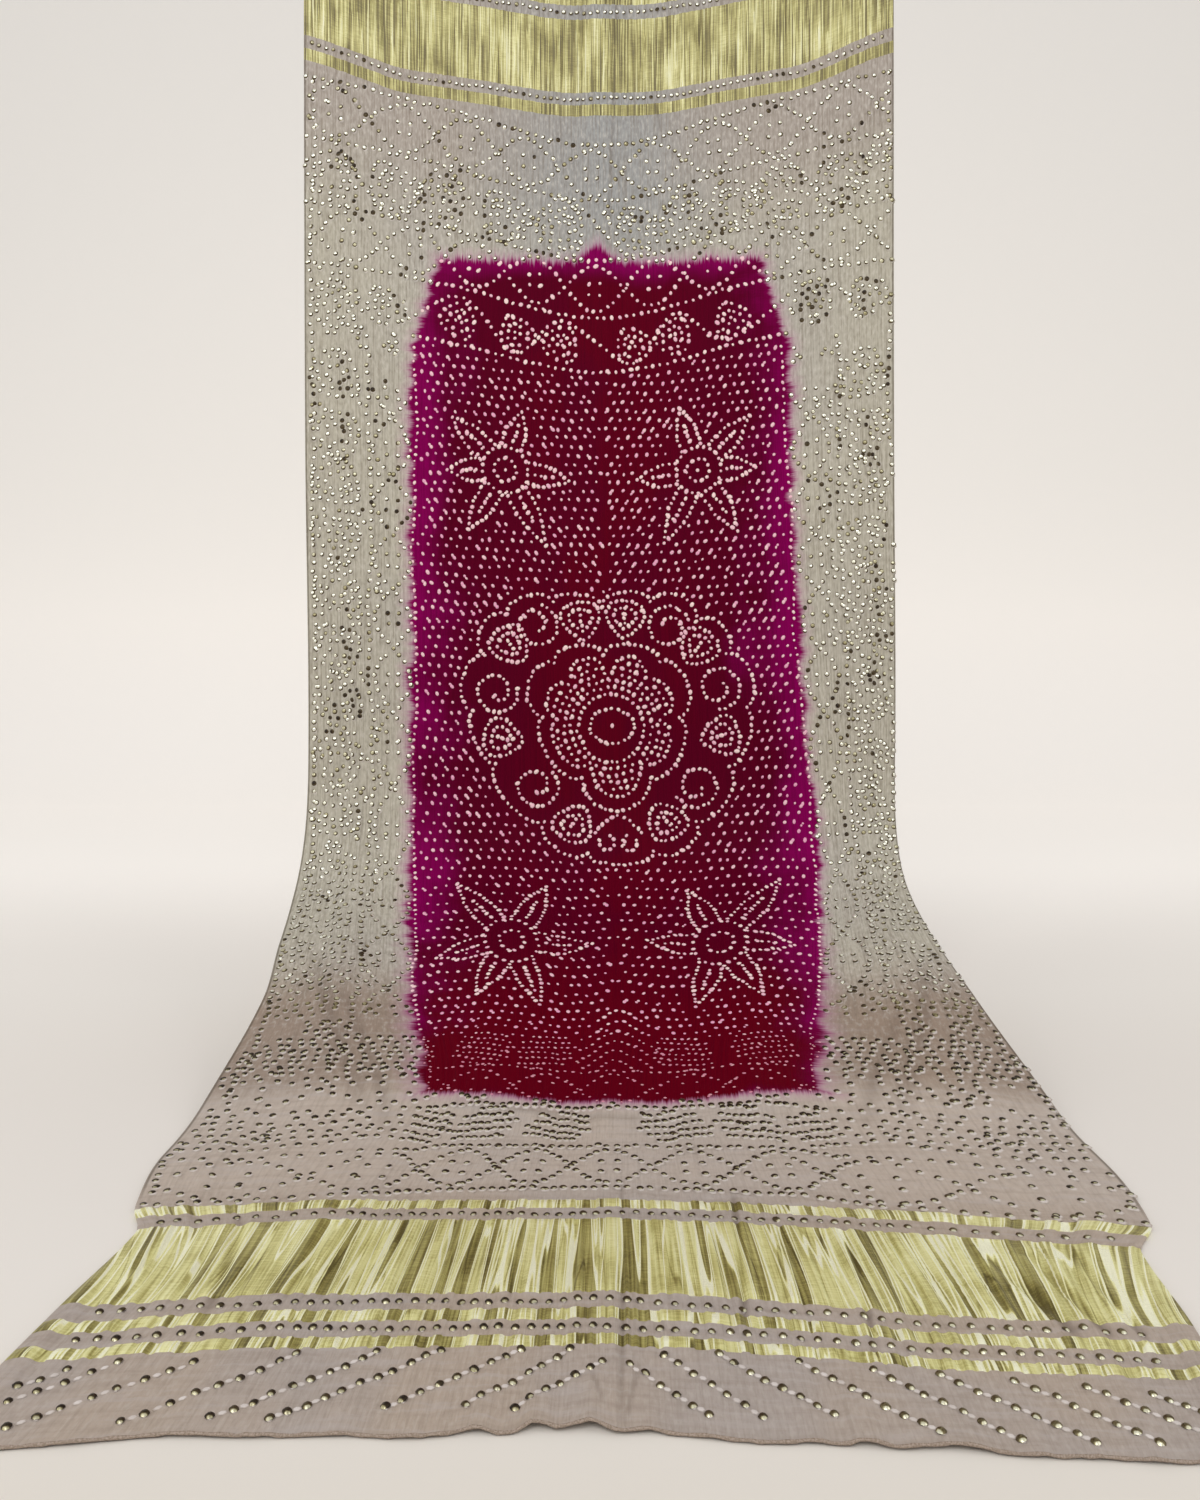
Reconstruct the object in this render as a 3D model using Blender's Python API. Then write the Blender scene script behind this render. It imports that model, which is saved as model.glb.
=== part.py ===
"""A bandhani dupatta: one length of crinkled silk with gold tissue bands woven in.

It hangs from its top edge, sweeps forward and lies on the surface in front of it. Lengths along the
cloth run from the top edge to the near hem, and widths run across from its middle, both on the flat.
"""

import math
from collections import namedtuple

import bpy
import numpy as np

# Driving sizes, in metres
CLOTH_LENGTH = 2.425
CLOTH_WIDTH = 0.94
THICKNESS = 0.0016
TURN_GAP = 0.0008
PANEL_HALF_WIDTH = 0.29
FOOTPRINT_MIDDLE_X = 0.0180
FOOTPRINT_MIDDLE_Y = 0.5007
MARGIN_EASE = 0.016
HEM_EASE = 0.07

# How the cloth falls: its lean from straight down, in degrees, at places along it
Fall = namedtuple("Fall", "place along lean")
FALL = (
    Fall("above the middle of the top edge", -0.15, 1.3),
    Fall("top edge", 0.00, 1.3),
    Fall("top of the dyed panel", 0.515, 0.7),
    Fall("medallion", 1.210, 0.3),
    Fall("start of the sweep", 1.284, 4.0),
    Fall("bend", 1.389, 28.0),
    Fall("end of the bend", 1.479, 59.0),
    Fall("lower stars", 1.580, 69.0),
    Fall("slack before the surface", 1.750, 70.5),
    Fall("end of the dyed panel", 1.905, 77.0),
    Fall("surface", 2.025, 90.0),
    Fall("near hem", 2.500, 90.0),
)

# Where five lengthwise lines of the cloth stand sideways: both turned edges, both edges of the dyed
# panel and the middle. The last column is the width turned under along each edge.
Sideways = namedtuple("Sideways", "place along left_edge left_panel middle right_panel right_edge turned")
SIDEWAYS = (
    Sideways("top edge", 0.000, -0.444, -0.282, 0.000, 0.278, 0.440, 0.030),
    Sideways("top of the dyed panel", 0.515, -0.443, -0.282, 0.000, 0.278, 0.440, 0.030),
    Sideways("upper stars", 0.827, -0.442, -0.282, 0.004, 0.285, 0.441, 0.030),
    Sideways("medallion", 1.210, -0.438, -0.282, 0.015, 0.310, 0.444, 0.030),
    Sideways("bend", 1.420, -0.439, -0.277, 0.018, 0.322, 0.441, 0.030),
    Sideways("lower stars", 1.590, -0.428, -0.251, 0.020, 0.297, 0.450, 0.030),
    Sideways("slack before the surface", 1.715, -0.415, -0.231, 0.018, 0.274, 0.464, 0.030),
    Sideways("end of the dyed panel", 1.903, -0.421, -0.191, 0.009, 0.239, 0.480, 0.030),
    Sideways("lower border", 2.009, -0.421, -0.200, 0.006, 0.241, 0.479, 0.030),
    Sideways("narrow gold stripe", 2.112, -0.403, -0.212, 0.004, 0.248, 0.462, 0.030),
    Sideways("wide gold band", 2.160, -0.383, -0.215, 0.004, 0.250, 0.431, 0.024),
    Sideways("margins opened out", 2.265, -0.392, -0.222, 0.003, 0.254, 0.418, 0.006),
    Sideways("near hem", 2.425, -0.403, -0.228, 0.001, 0.245, 0.384, 0.006),
)

# How far each of those lines runs ahead of the middle, which hangs lowest at the top
Lead = namedtuple("Lead", "place along left_edge left_panel middle right_panel right_edge")
LEAD = (
    Lead("top edge", 0.000, -0.100, -0.040, 0.0, -0.043, -0.113),
    Lead("upper gold band", 0.262, -0.087, -0.036, 0.0, -0.039, -0.098),
    Lead("top of the dyed panel", 0.515, -0.066, -0.026, 0.0, -0.028, -0.070),
    Lead("upper stars", 0.827, -0.048, -0.020, 0.0, -0.021, -0.048),
    Lead("medallion", 1.210, -0.026, -0.010, 0.0, -0.010, -0.024),
    Lead("lower stars", 1.590, 0.000, -0.004, 0.0, -0.004, 0.000),
    Lead("end of the dyed panel", 1.903, 0.006, -0.016, 0.0, -0.018, 0.014),
    Lead("narrow gold stripe", 2.121, 0.020, 0.000, 0.0, 0.020, 0.052),
    Lead("wide gold band ends", 2.265, 0.020, 0.003, 0.0, 0.032, 0.046),
    Lead("near hem", 2.425, 0.018, 0.004, 0.0, 0.020, 0.026),
)

# Soft lengthwise folds: place and half width across the flat cloth, and how far each stands forward
# at the top edge, the medallion, the sweep and the surface
Fold = namedtuple("Fold", "name across half_width top medallion sweep surface")
FOLD_PLACES = (0.0, 1.21, 1.65, 2.03)
FOLDS = (
    Fold("gather beside the left margin", -0.375, 0.055, 0.004, 0.006, 0.010, 0.0),
    Fold("left border trough", -0.290, 0.050, -0.003, -0.004, -0.007, 0.0),
    Fold("left panel swell", -0.170, 0.090, 0.003, 0.005, 0.008, 0.0),
    Fold("left of the crease", -0.060, 0.055, -0.002, -0.003, -0.006, 0.0),
    Fold("lengthwise crease", 0.000, 0.040, 0.003, 0.003, 0.004, 0.0015),
    Fold("right of the crease", 0.085, 0.065, -0.004, -0.003, -0.005, 0.0),
    Fold("right panel swell", 0.200, 0.080, 0.002, 0.005, 0.009, 0.0),
    Fold("right border trough", 0.300, 0.045, -0.003, -0.004, -0.008, 0.0),
    Fold("gather beside the right margin", 0.385, 0.055, 0.005, 0.005, 0.012, 0.0),
)

# Waves of the near hem: place and half width across, and how far the hem draws back there
HemWave = namedtuple("HemWave", "across half_width drawn_back lift")
HEM_WAVES = (
    HemWave(-0.330, 0.060, 0.003, 0.0),
    HemWave(-0.150, 0.050, -0.003, 0.0),
    HemWave(-0.030, 0.050, 0.007, 0.003),
    HemWave(0.110, 0.060, -0.003, 0.0),
    HemWave(0.250, 0.050, 0.004, 0.002),
    HemWave(0.400, 0.050, -0.002, 0.0),
)

# How finely the solid is divided
ROW_GROUPS = ((0.0, 1.15, 20), (1.15, 2.05, 25), (2.05, CLOTH_LENGTH, 12))
COLUMNS_BETWEEN_MARGINS = 20
TURN_STEPS = 3
PROFILE_STEP = 0.001


def smooth(at, places, values):
    """Read a short table on a soft curve that never runs past its own values."""
    at, places, values = (np.asarray(row, float) for row in (at, places, values))
    gap = np.diff(places)
    slope = np.diff(values) / gap
    tangent = np.zeros_like(values)
    tangent[0], tangent[-1] = slope[0], slope[-1]
    for i in range(1, len(values) - 1):
        if slope[i - 1] * slope[i] > 0:
            tangent[i] = 2 * slope[i - 1] * slope[i] / (slope[i - 1] + slope[i])
    at = np.clip(at, places[0], places[-1])
    i = np.clip(np.searchsorted(places, at, side="right") - 1, 0, len(gap) - 1)
    t = (at - places[i]) / gap[i]
    return (
        values[i] * (1 + 2 * t) * (1 - t) ** 2
        + values[i + 1] * (3 - 2 * t) * t**2
        + gap[i] * (tangent[i] * t * (1 - t) ** 2 - tangent[i + 1] * t**2 * (1 - t))
    )


def bump(distance, half_width):
    """A soft ridge: 1 in its middle and 0 past its half width."""
    reach = np.clip(np.abs(distance) / half_width, 0, 1)
    return 0.5 + 0.5 * np.cos(math.pi * reach)


def column(table, name):
    return [getattr(row, name) for row in table]


def fall_line():
    """Depth and height of the middle of the cloth along its length, with the surface at height 0."""
    along = np.arange(FALL[0].along, FALL[-1].along, PROFILE_STEP)
    lean = np.radians(smooth(along, column(FALL, "along"), column(FALL, "lean")))
    depth = -np.cumsum(np.sin(lean)) * PROFILE_STEP
    height = -np.cumsum(np.cos(lean)) * PROFILE_STEP
    hem = np.searchsorted(along, CLOTH_LENGTH)
    return along, depth - depth[hem], height - height[hem]


FALL_ALONG, FALL_DEPTH, FALL_HEIGHT = fall_line()
LINES = ("left_edge", "left_panel", "middle", "right_panel", "right_edge")


def turned_edge(along):
    """Distance from the middle of the flat cloth to the line where its margin is turned under."""
    return CLOTH_WIDTH / 2 - smooth(along, column(SIDEWAYS, "along"), column(SIDEWAYS, "turned"))


def across_lines(along):
    """Flat places of the five lines at one place along the cloth."""
    edge = float(turned_edge(along))
    return (-edge, -PANEL_HALF_WIDTH, 0.0, PANEL_HALF_WIDTH, edge)


def sideways(across, along):
    stands = [float(smooth(along, column(SIDEWAYS, "along"), column(SIDEWAYS, line))) for line in LINES]
    return np.interp(across, across_lines(along), stands)


def lead(across, along):
    ahead = [float(smooth(along, column(LEAD, "along"), column(LEAD, line))) for line in LINES]
    return smooth(across, across_lines(along), ahead)


def fold_height(across, along):
    """How far the soft folds stand forward of the plain fall of the cloth."""
    total = np.zeros_like(across)
    for fold in FOLDS:
        heights = (fold.top, fold.medallion, fold.sweep, fold.surface)
        total += smooth(along, FOLD_PLACES, heights) * bump(across - fold.across, fold.half_width)
    return total


def hem_wave(across, along):
    """Length that the hem draws back, and the height that it lifts, near the end of the cloth."""
    near = smooth(along, (CLOTH_LENGTH - HEM_EASE, CLOTH_LENGTH), (0.0, 1.0))
    drawn, lift = np.zeros_like(across), np.zeros_like(across)
    for wave in HEM_WAVES:
        shape = near * bump(across - wave.across, wave.half_width)
        drawn += wave.drawn_back * shape
        lift += wave.lift * shape
    return drawn, lift


def margin_rise(across, along):
    """The front layer rides over the margin that is turned under it."""
    edge = turned_edge(along)
    turned = CLOTH_WIDTH / 2 - edge
    inner = edge - turned
    over = (inner - np.abs(across)) / MARGIN_EASE
    return (THICKNESS + TURN_GAP) * smooth(np.clip(over, 0, 1), (0.0, 0.25, 1.0), (1.0, 1.0, 0.0))


def lay(x, across, along, forward):
    """Points of the cloth: x sideways, from the flat place, standing forward of the fall line."""
    drawn, lift = hem_wave(across, along)
    on_line = along + lead(across, along) - drawn
    depth = np.interp(on_line, FALL_ALONG, FALL_DEPTH)
    height = np.interp(on_line, FALL_ALONG, FALL_HEIGHT)
    lean = np.radians(smooth(on_line, column(FALL, "along"), column(FALL, "lean")))
    out = forward + THICKNESS / 2
    return np.stack(
        (
            x - FOOTPRINT_MIDDLE_X,
            depth - out * np.cos(lean) - FOOTPRINT_MIDDLE_Y,
            height + out * np.sin(lean) + lift,
        ),
        axis=-1,
    )


def across_places(along):
    """Flat places of the front layer's columns, closer together beside the margins."""
    edge = float(turned_edge(along))
    turned = CLOTH_WIDTH / 2 - edge
    beside = edge - np.array((0.0, 0.5 * turned, turned + 0.25 * MARGIN_EASE, turned + 1.1 * MARGIN_EASE))
    inner = beside[-1]
    between = np.linspace(-inner, inner, COLUMNS_BETWEEN_MARGINS + 1)
    return np.concatenate((-beside[:-1], between, beside[-2::-1]))


def section(along):
    """One row of points across the cloth, from one selvedge round both turns to the other selvedge."""
    across = across_places(along)
    edge = across[-1]
    turned = CLOTH_WIDTH / 2 - edge
    radius = (THICKNESS + TURN_GAP) / 2
    front = fold_height(across, along) + margin_rise(across, along)
    rows = [lay(sideways(across, along), across, along, front)]
    for side in (-1, 1):
        at_edge = np.array([side * edge])
        x_edge = float(sideways(at_edge, along)[0])
        level = float(fold_height(at_edge, along)[0])
        x, forward, place = [], [], []
        for step in range(1, TURN_STEPS + 1):
            angle = math.pi * step / (TURN_STEPS + 1)
            x.append(x_edge + side * radius * math.sin(angle))
            forward.append(level + radius * (1 + math.cos(angle)))
            place.append(side * edge)
        for share in (0.0, 0.5, 1.0):
            x.append(x_edge - side * share * turned)
            place.append(side * (edge - share * turned))
            forward.append(float(fold_height(np.array([place[-1]]), along)[0]))
        part = lay(np.array(x), np.array(place), along, np.array(forward))
        rows = [part[::-1]] + rows if side < 0 else rows + [part]
    return np.concatenate(rows)


def layer_normals(grid):
    """The direction in which the front of each point of the layer faces."""
    down = np.gradient(grid, axis=0)
    across = np.gradient(grid, axis=1)
    facing = np.cross(down, across)
    return facing / np.linalg.norm(facing, axis=-1, keepdims=True)


def closed_sheet(grid):
    """Vertices and faces of a solid of even thickness about the rows of points."""
    half = layer_normals(grid) * THICKNESS / 2
    rows, columns = grid.shape[:2]
    vertices = np.concatenate(((grid + half).reshape(-1, 3), (grid - half).reshape(-1, 3)))
    vertices[:, 2] = np.maximum(vertices[:, 2], 0.0)
    back = rows * columns

    def front_at(i, j):
        return i * columns + j

    faces = []
    for i in range(rows - 1):
        for j in range(columns - 1):
            quad = (front_at(i, j), front_at(i + 1, j), front_at(i + 1, j + 1), front_at(i, j + 1))
            faces.append(quad)
            faces.append(tuple(back + corner for corner in reversed(quad)))
    rim = [front_at(0, j) for j in range(columns)]
    rim += [front_at(i, columns - 1) for i in range(1, rows)]
    rim += [front_at(rows - 1, j) for j in range(columns - 2, -1, -1)]
    rim += [front_at(i, 0) for i in range(rows - 2, 0, -1)]
    for corner, following in zip(rim, rim[1:] + rim[:1]):
        faces.append((corner, following, back + following, back + corner))
    return vertices, faces


def silk():
    material = bpy.data.materials.new("crinkled_silk")
    material.use_nodes = True
    shader = material.node_tree.nodes["Principled BSDF"]
    shader.inputs["Base Color"].default_value = (0.42, 0.39, 0.33, 1.0)
    shader.inputs["Roughness"].default_value = 0.55
    shader.inputs["Metallic"].default_value = 0.0
    return material


def make_cloth():
    along = np.concatenate([np.linspace(a, b, n, endpoint=False) for a, b, n in ROW_GROUPS])
    along = np.append(along, CLOTH_LENGTH)
    grid = np.array([section(place) for place in along])
    vertices, faces = closed_sheet(grid)
    mesh = bpy.data.meshes.new("cloth")
    mesh.from_pydata(vertices.tolist(), [], faces)
    mesh.update()
    mesh.shade_smooth()
    mesh.materials.append(silk())
    cloth = bpy.data.objects.new("cloth", mesh)
    bpy.context.scene.collection.objects.link(cloth)
    return cloth


for item in list(bpy.data.objects):
    bpy.data.objects.remove(item, do_unlink=True)
make_cloth()
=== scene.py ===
import math
from collections import namedtuple

import bpy
import numpy as np
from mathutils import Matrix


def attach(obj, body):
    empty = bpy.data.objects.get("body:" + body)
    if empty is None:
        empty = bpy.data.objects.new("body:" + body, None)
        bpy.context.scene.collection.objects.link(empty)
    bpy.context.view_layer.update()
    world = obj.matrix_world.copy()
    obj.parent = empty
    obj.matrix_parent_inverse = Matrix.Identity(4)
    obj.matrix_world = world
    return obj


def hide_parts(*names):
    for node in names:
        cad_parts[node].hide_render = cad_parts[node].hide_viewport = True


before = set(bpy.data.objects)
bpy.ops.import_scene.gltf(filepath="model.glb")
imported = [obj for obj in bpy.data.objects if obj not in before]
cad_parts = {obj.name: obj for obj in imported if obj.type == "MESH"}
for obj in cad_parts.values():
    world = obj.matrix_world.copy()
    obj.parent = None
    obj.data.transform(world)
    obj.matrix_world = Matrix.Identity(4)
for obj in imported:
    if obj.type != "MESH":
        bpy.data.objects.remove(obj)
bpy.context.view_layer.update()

# ---- Camera --------------------------------------------------------------------------------------
# It stands in front of the middle of the cloth at the height of the medallion, and looks level.
camera_data = bpy.data.cameras.new("camera")
camera_data.lens = 26.64
camera_data.sensor_width = 36.0
camera_data.shift_y = -0.0267
camera_data.dof.use_dof = False
camera = bpy.data.objects.new("camera", camera_data)
camera.location = (-0.018, -1.1655, 0.449)
camera.rotation_euler = (math.radians(90 - 0.889), 0.0, 0.0)
bpy.context.scene.collection.objects.link(camera)
bpy.context.scene.camera = camera

# ---- The length of silk --------------------------------------------------------------------------
# One length of thin crinkled silk, woven with gold tissue bands near both ends. It hangs by its top
# hem, sweeps forward and lies down, with a margin turned under along each selvedge. Flat places are
# metres across from the middle and along from the top hem.
CLOTH_LENGTH = 2.425
CLOTH_WIDTH = 0.94
THICKNESS = 0.0016
TURN_GAP = 0.0008
PANEL_HALF_WIDTH = 0.29
FOOTPRINT_MIDDLE_X = 0.0180
FOOTPRINT_MIDDLE_Y = 0.5007
MARGIN_EASE = 0.016
HEM_EASE = 0.07
FALL_STEP = 0.001
FLOOR_GAP = 0.0002

# Points of one row of the mesh: on the front, round each turned edge, and on the margin under it
FRONT_POINTS, BEND_POINTS, UNDER_POINTS = 581, 3, 5
FRONT = slice(BEND_POINTS + UNDER_POINTS, -BEND_POINTS - UNDER_POINTS)
# Pitch of the rows in the silk, in the gold, and in the straight run that hangs
ROW_PITCH, GOLD_ROW_PITCH, STRAIGHT_ROW_PITCH = 0.0098, 0.0045, 0.0180
STRAIGHT_RUN = (0.3, 1.45)


def table(fields, *rows):
    """Rows of a table that can be read by the names of its columns."""
    Row = namedtuple("Row", fields)
    return [Row(*row) for row in rows]


# How far the cloth leans from hanging straight, in degrees
FALL = table(
    "along lean",
    (-0.15, 1.3), (0.0, 1.3), (0.515, 0.7), (1.21, 0.3), (1.284, 4.0), (1.389, 28.0), (1.479, 59.0),
    (1.58, 69.0), (1.75, 70.5), (1.905, 77.0), (2.025, 90.0), (2.5, 90.0),
)

# Where five lines of the cloth stand sideways, and the width of the turned margin
SIDEWAYS = table(
    "along left_edge left_panel middle right_panel right_edge turned",
    (0.0, -0.444, -0.282, 0.0, 0.278, 0.44, 0.03), (0.515, -0.443, -0.282, 0.0, 0.278, 0.44, 0.03),
    (0.827, -0.442, -0.282, 0.004, 0.285, 0.441, 0.03), (1.21, -0.438, -0.282, 0.015, 0.31, 0.444, 0.03),
    (1.42, -0.439, -0.277, 0.018, 0.322, 0.441, 0.03), (1.59, -0.428, -0.251, 0.02, 0.297, 0.45, 0.03),
    (1.715, -0.415, -0.231, 0.018, 0.274, 0.464, 0.03), (1.903, -0.421, -0.191, 0.009, 0.239, 0.48, 0.03),
    (2.009, -0.421, -0.2, 0.006, 0.241, 0.479, 0.03), (2.112, -0.403, -0.212, 0.004, 0.248, 0.462, 0.03),
    (2.16, -0.383, -0.215, 0.004, 0.25, 0.431, 0.024), (2.265, -0.392, -0.222, 0.003, 0.254, 0.418, 0.006),
    (2.425, -0.403, -0.228, 0.001, 0.245, 0.384, 0.006),
)

# How far ahead of the middle line the other four run down the fall
LEAD = table(
    "along left_edge left_panel middle right_panel right_edge",
    (0.0, -0.1, -0.04, 0.0, -0.043, -0.113), (0.262, -0.087, -0.036, 0.0, -0.039, -0.098),
    (0.515, -0.066, -0.026, 0.0, -0.028, -0.07), (0.827, -0.048, -0.02, 0.0, -0.021, -0.048),
    (1.21, -0.026, -0.01, 0.0, -0.01, -0.024), (1.59, 0.0, -0.004, 0.0, -0.004, 0.0),
    (1.903, 0.006, -0.016, 0.0, -0.018, 0.014), (2.121, 0.02, 0.0, 0.0, 0.02, 0.052),
    (2.265, 0.02, 0.003, 0.0, 0.032, 0.046), (2.425, 0.018, 0.004, 0.0, 0.02, 0.026),
)

# Soft folds that run along the cloth: place and half width across, and height at four places along
FOLD_PLACES = (0.0, 1.21, 1.65, 2.03)
FOLDS = table(
    "across half_width top medallion sweep surface",
    (-0.375, 0.055, 0.004, 0.006, 0.007, 0.0), (-0.29, 0.05, -0.003, -0.004, -0.004, 0.0),
    (-0.17, 0.09, 0.003, 0.005, 0.006, 0.0), (-0.06, 0.055, -0.002, -0.003, -0.004, 0.0),
    (0.0, 0.04, 0.003, 0.003, 0.004, 0.0015), (0.085, 0.065, -0.004, -0.003, -0.004, 0.0),
    (0.2, 0.08, 0.002, 0.005, 0.006, 0.0), (0.3, 0.045, -0.003, -0.004, -0.004, 0.0),
    (0.385, 0.055, 0.005, 0.005, 0.008, 0.0),
)

# Waves of the near hem: place and half width across, how far it draws back and how high it lifts
HEM_WAVES = table(
    "across half_width drawn_back lift",
    (-0.33, 0.06, 0.003, 0.0), (-0.15, 0.05, -0.003, 0.0), (-0.03, 0.05, 0.003, 0.001),
    (0.11, 0.06, -0.003, 0.0), (0.25, 0.05, 0.004, 0.002), (0.4, 0.05, -0.002, 0.0),
    (-0.098, 0.02, 0.002, 0.002), (-0.052, 0.018, 0.003, 0.003), (-0.008, 0.02, 0.003, 0.003),
    (0.034, 0.022, 0.002, 0.002), (0.15, 0.024, 0.001, 0.001), (0.19, 0.022, 0.002, 0.002),
)

# Gold bands, from and to along the cloth: a wide one between narrow stripes at each end
GOLD_BANDS = table(
    "begins ends",
    (0.079, 0.092), (0.1105, 0.125), (0.1465, 0.2569), (0.2753, 0.292), (2.119, 2.1346), (2.1546, 2.2697),
    (2.291, 2.3053), (2.3243, 2.3372),
)

# Creases pressed or pulled into the cloth: both ends on the flat, half width and depth
CREASES = table(
    "across along to_across to_along half_width depth",
    # Where it hangs: the fold line down the middle and the line beside it, then two short ones
    (0.031, 0.02, 0.011, 0.52, 0.005, 0.0016), (-0.029, 0.1, -0.028, 0.27, 0.004, 0.0012),
    (0.089, 0.28, 0.097, 0.33, 0.0035, 0.0018), (-0.062, 0.262, -0.058, 0.385, 0.0035, 0.001),
    # Where it lies: the fold line, then the deep ones through the gold, from the middle to the left corner
    (0.019, 2.08, 0.014, 2.415, 0.0045, 0.0016), (-0.1036, 2.15, -0.089, 2.275, 0.0045, 0.0024),
    (0.067, 2.15, 0.056, 2.27, 0.005, 0.0022), (0.136, 2.105, 0.1157, 2.3, 0.0055, 0.0034),
    (0.1733, 2.148, 0.1557, 2.262, 0.0045, 0.0024), (-0.2212, 2.16, -0.214, 2.266, 0.006, 0.0022),
    (-0.3045, 2.16, -0.2998, 2.268, 0.006, 0.0022), (-0.372, 2.15, -0.352, 2.285, 0.0075, 0.0032),
    # Short ones that cross the gold
    (0.262, 2.216, 0.318, 2.226, 0.003, 0.0018), (0.312, 2.229, 0.374, 2.228, 0.0032, 0.0018),
    (-0.245, 2.2, -0.222, 2.204, 0.003, 0.0012),
    # Slanting ones at the right corner, and one at the right quarter
    (0.344, 2.186, 0.374, 2.285, 0.009, 0.004), (0.371, 2.178, 0.398, 2.282, 0.0085, 0.0042),
    (0.402, 2.172, 0.424, 2.28, 0.007, 0.0036), (0.236, 2.15, 0.212, 2.33, 0.005, 0.0026),
    # By the near hem
    (0.029, 2.35, 0.0177, 2.415, 0.004, 0.0014), (-0.0123, 2.36, 0.0006, 2.4, 0.004, 0.0014),
    # Pulls of the sweep at its left and right, and the slack under the panel
    (-0.4, 1.62, -0.33, 1.93, 0.012, 0.0016), (-0.355, 1.72, -0.305, 1.98, 0.01, 0.0015),
    (0.405, 1.64, 0.34, 1.93, 0.012, 0.0016), (0.36, 1.75, 0.312, 1.96, 0.01, 0.0015),
    (-0.23, 1.925, 0.06, 1.945, 0.012, 0.0016),
)


def smooth(at, places, values):
    """Read a short table on a soft curve that never runs past its own values."""
    at, places, values = (np.asarray(row, float) for row in (at, places, values))
    gap = np.diff(places)
    slope = np.diff(values) / gap
    tangent = np.zeros_like(values)
    tangent[0], tangent[-1] = slope[0], slope[-1]
    for i in range(1, len(values) - 1):
        if slope[i - 1] * slope[i] > 0:
            tangent[i] = 2 * slope[i - 1] * slope[i] / (slope[i - 1] + slope[i])
    at = np.clip(at, places[0], places[-1])
    i = np.clip(np.searchsorted(places, at, side="right") - 1, 0, len(gap) - 1)
    t = (at - places[i]) / gap[i]
    return (
        values[i] * (1 + 2 * t) * (1 - t) ** 2
        + values[i + 1] * (3 - 2 * t) * t**2
        + gap[i] * (tangent[i] * t * (1 - t) ** 2 - tangent[i + 1] * t**2 * (1 - t))
    )


def bump(distance, half_width):
    reach = np.clip(np.abs(distance) / half_width, 0, 1)
    return 0.5 + 0.5 * np.cos(math.pi * reach)


def read(rows, name, along):
    """One column of a table at a place along the cloth."""
    return smooth(along, [row.along for row in rows], [getattr(row, name) for row in rows])


def fall_line():
    """Depth and height of the cloth's middle line, by its place along."""
    along = np.arange(FALL[0].along, FALL[-1].along, FALL_STEP)
    lean = np.radians(read(FALL, "lean", along))
    depth = -np.cumsum(np.sin(lean)) * FALL_STEP
    height = -np.cumsum(np.cos(lean)) * FALL_STEP
    hem = np.searchsorted(along, CLOTH_LENGTH)
    return along, depth - depth[hem], height - height[hem]


FALL_ALONG, FALL_DEPTH, FALL_HEIGHT = fall_line()
LINES = ("left_edge", "left_panel", "middle", "right_panel", "right_edge")


def turned_edge(along):
    return CLOTH_WIDTH / 2 - read(SIDEWAYS, "turned", along)


def across_lines(along):
    edge = float(turned_edge(along))
    return (-edge, -PANEL_HALF_WIDTH, 0.0, PANEL_HALF_WIDTH, edge)


def sideways(across, along):
    return np.interp(across, across_lines(along), [float(read(SIDEWAYS, line, along)) for line in LINES])


def lead(across, along):
    return smooth(across, across_lines(along), [float(read(LEAD, line, along)) for line in LINES])


def fold_height(across, along):
    total = np.zeros_like(across)
    for fold in FOLDS:
        heights = (fold.top, fold.medallion, fold.sweep, fold.surface)
        total += smooth(along, FOLD_PLACES, heights) * bump(across - fold.across, fold.half_width)
    return total


def hem_wave(across, along):
    near = smooth(along, (CLOTH_LENGTH - HEM_EASE, CLOTH_LENGTH), (0.0, 1.0))
    drawn, lift = np.zeros_like(across), np.zeros_like(across)
    for wave in HEM_WAVES:
        shape = near * bump(across - wave.across, wave.half_width)
        drawn += wave.drawn_back * shape
        lift += wave.lift * shape
    return drawn, lift


def margin_rise(across, along):
    edge = turned_edge(along)
    inner = edge - (CLOTH_WIDTH / 2 - edge)
    over = (inner - np.abs(across)) / MARGIN_EASE
    return (THICKNESS + TURN_GAP) * smooth(np.clip(over, 0, 1), (0.0, 0.25, 1.0), (1.0, 1.0, 0.0))


def lay(x, across, along, forward):
    """Points of the cloth: x sideways, from the flat place, standing forward of the fall line."""
    drawn, lift = hem_wave(across, along)
    on_line = along + lead(across, along) - drawn
    depth = np.interp(on_line, FALL_ALONG, FALL_DEPTH)
    height = np.interp(on_line, FALL_ALONG, FALL_HEIGHT)
    lean = np.radians(read(FALL, "lean", on_line))
    out = forward + THICKNESS / 2
    places = (
        x - FOOTPRINT_MIDDLE_X,
        depth - out * np.cos(lean) - FOOTPRINT_MIDDLE_Y,
        height + out * np.sin(lean) + lift,
    )
    return np.stack(places, axis=-1)


def wandering(across, along, width, length, seed):
    """Soft uneven ridges 0 to 1 high, about width apart across and length long."""
    chance = np.random.default_rng(seed)
    rows = int(CLOTH_LENGTH / length) + 4
    columns = int(CLOTH_WIDTH / width) + 4
    heights = chance.random((rows, columns))
    u = (across + CLOTH_WIDTH / 2) / width + 1
    slip = chance.random(columns)
    i = np.clip(u.astype(int), 0, columns - 2)
    s = u - i
    s = s * s * (3 - 2 * s)

    def down(i):
        v = along / length + slip[i]
        j = np.clip(v.astype(int), 0, rows - 2)
        t = v - j
        t = t * t * (3 - 2 * t)
        return heights[j, i] * (1 - t) + heights[j + 1, i] * t

    return down(i) * (1 - s) + down(i + 1) * s


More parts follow.
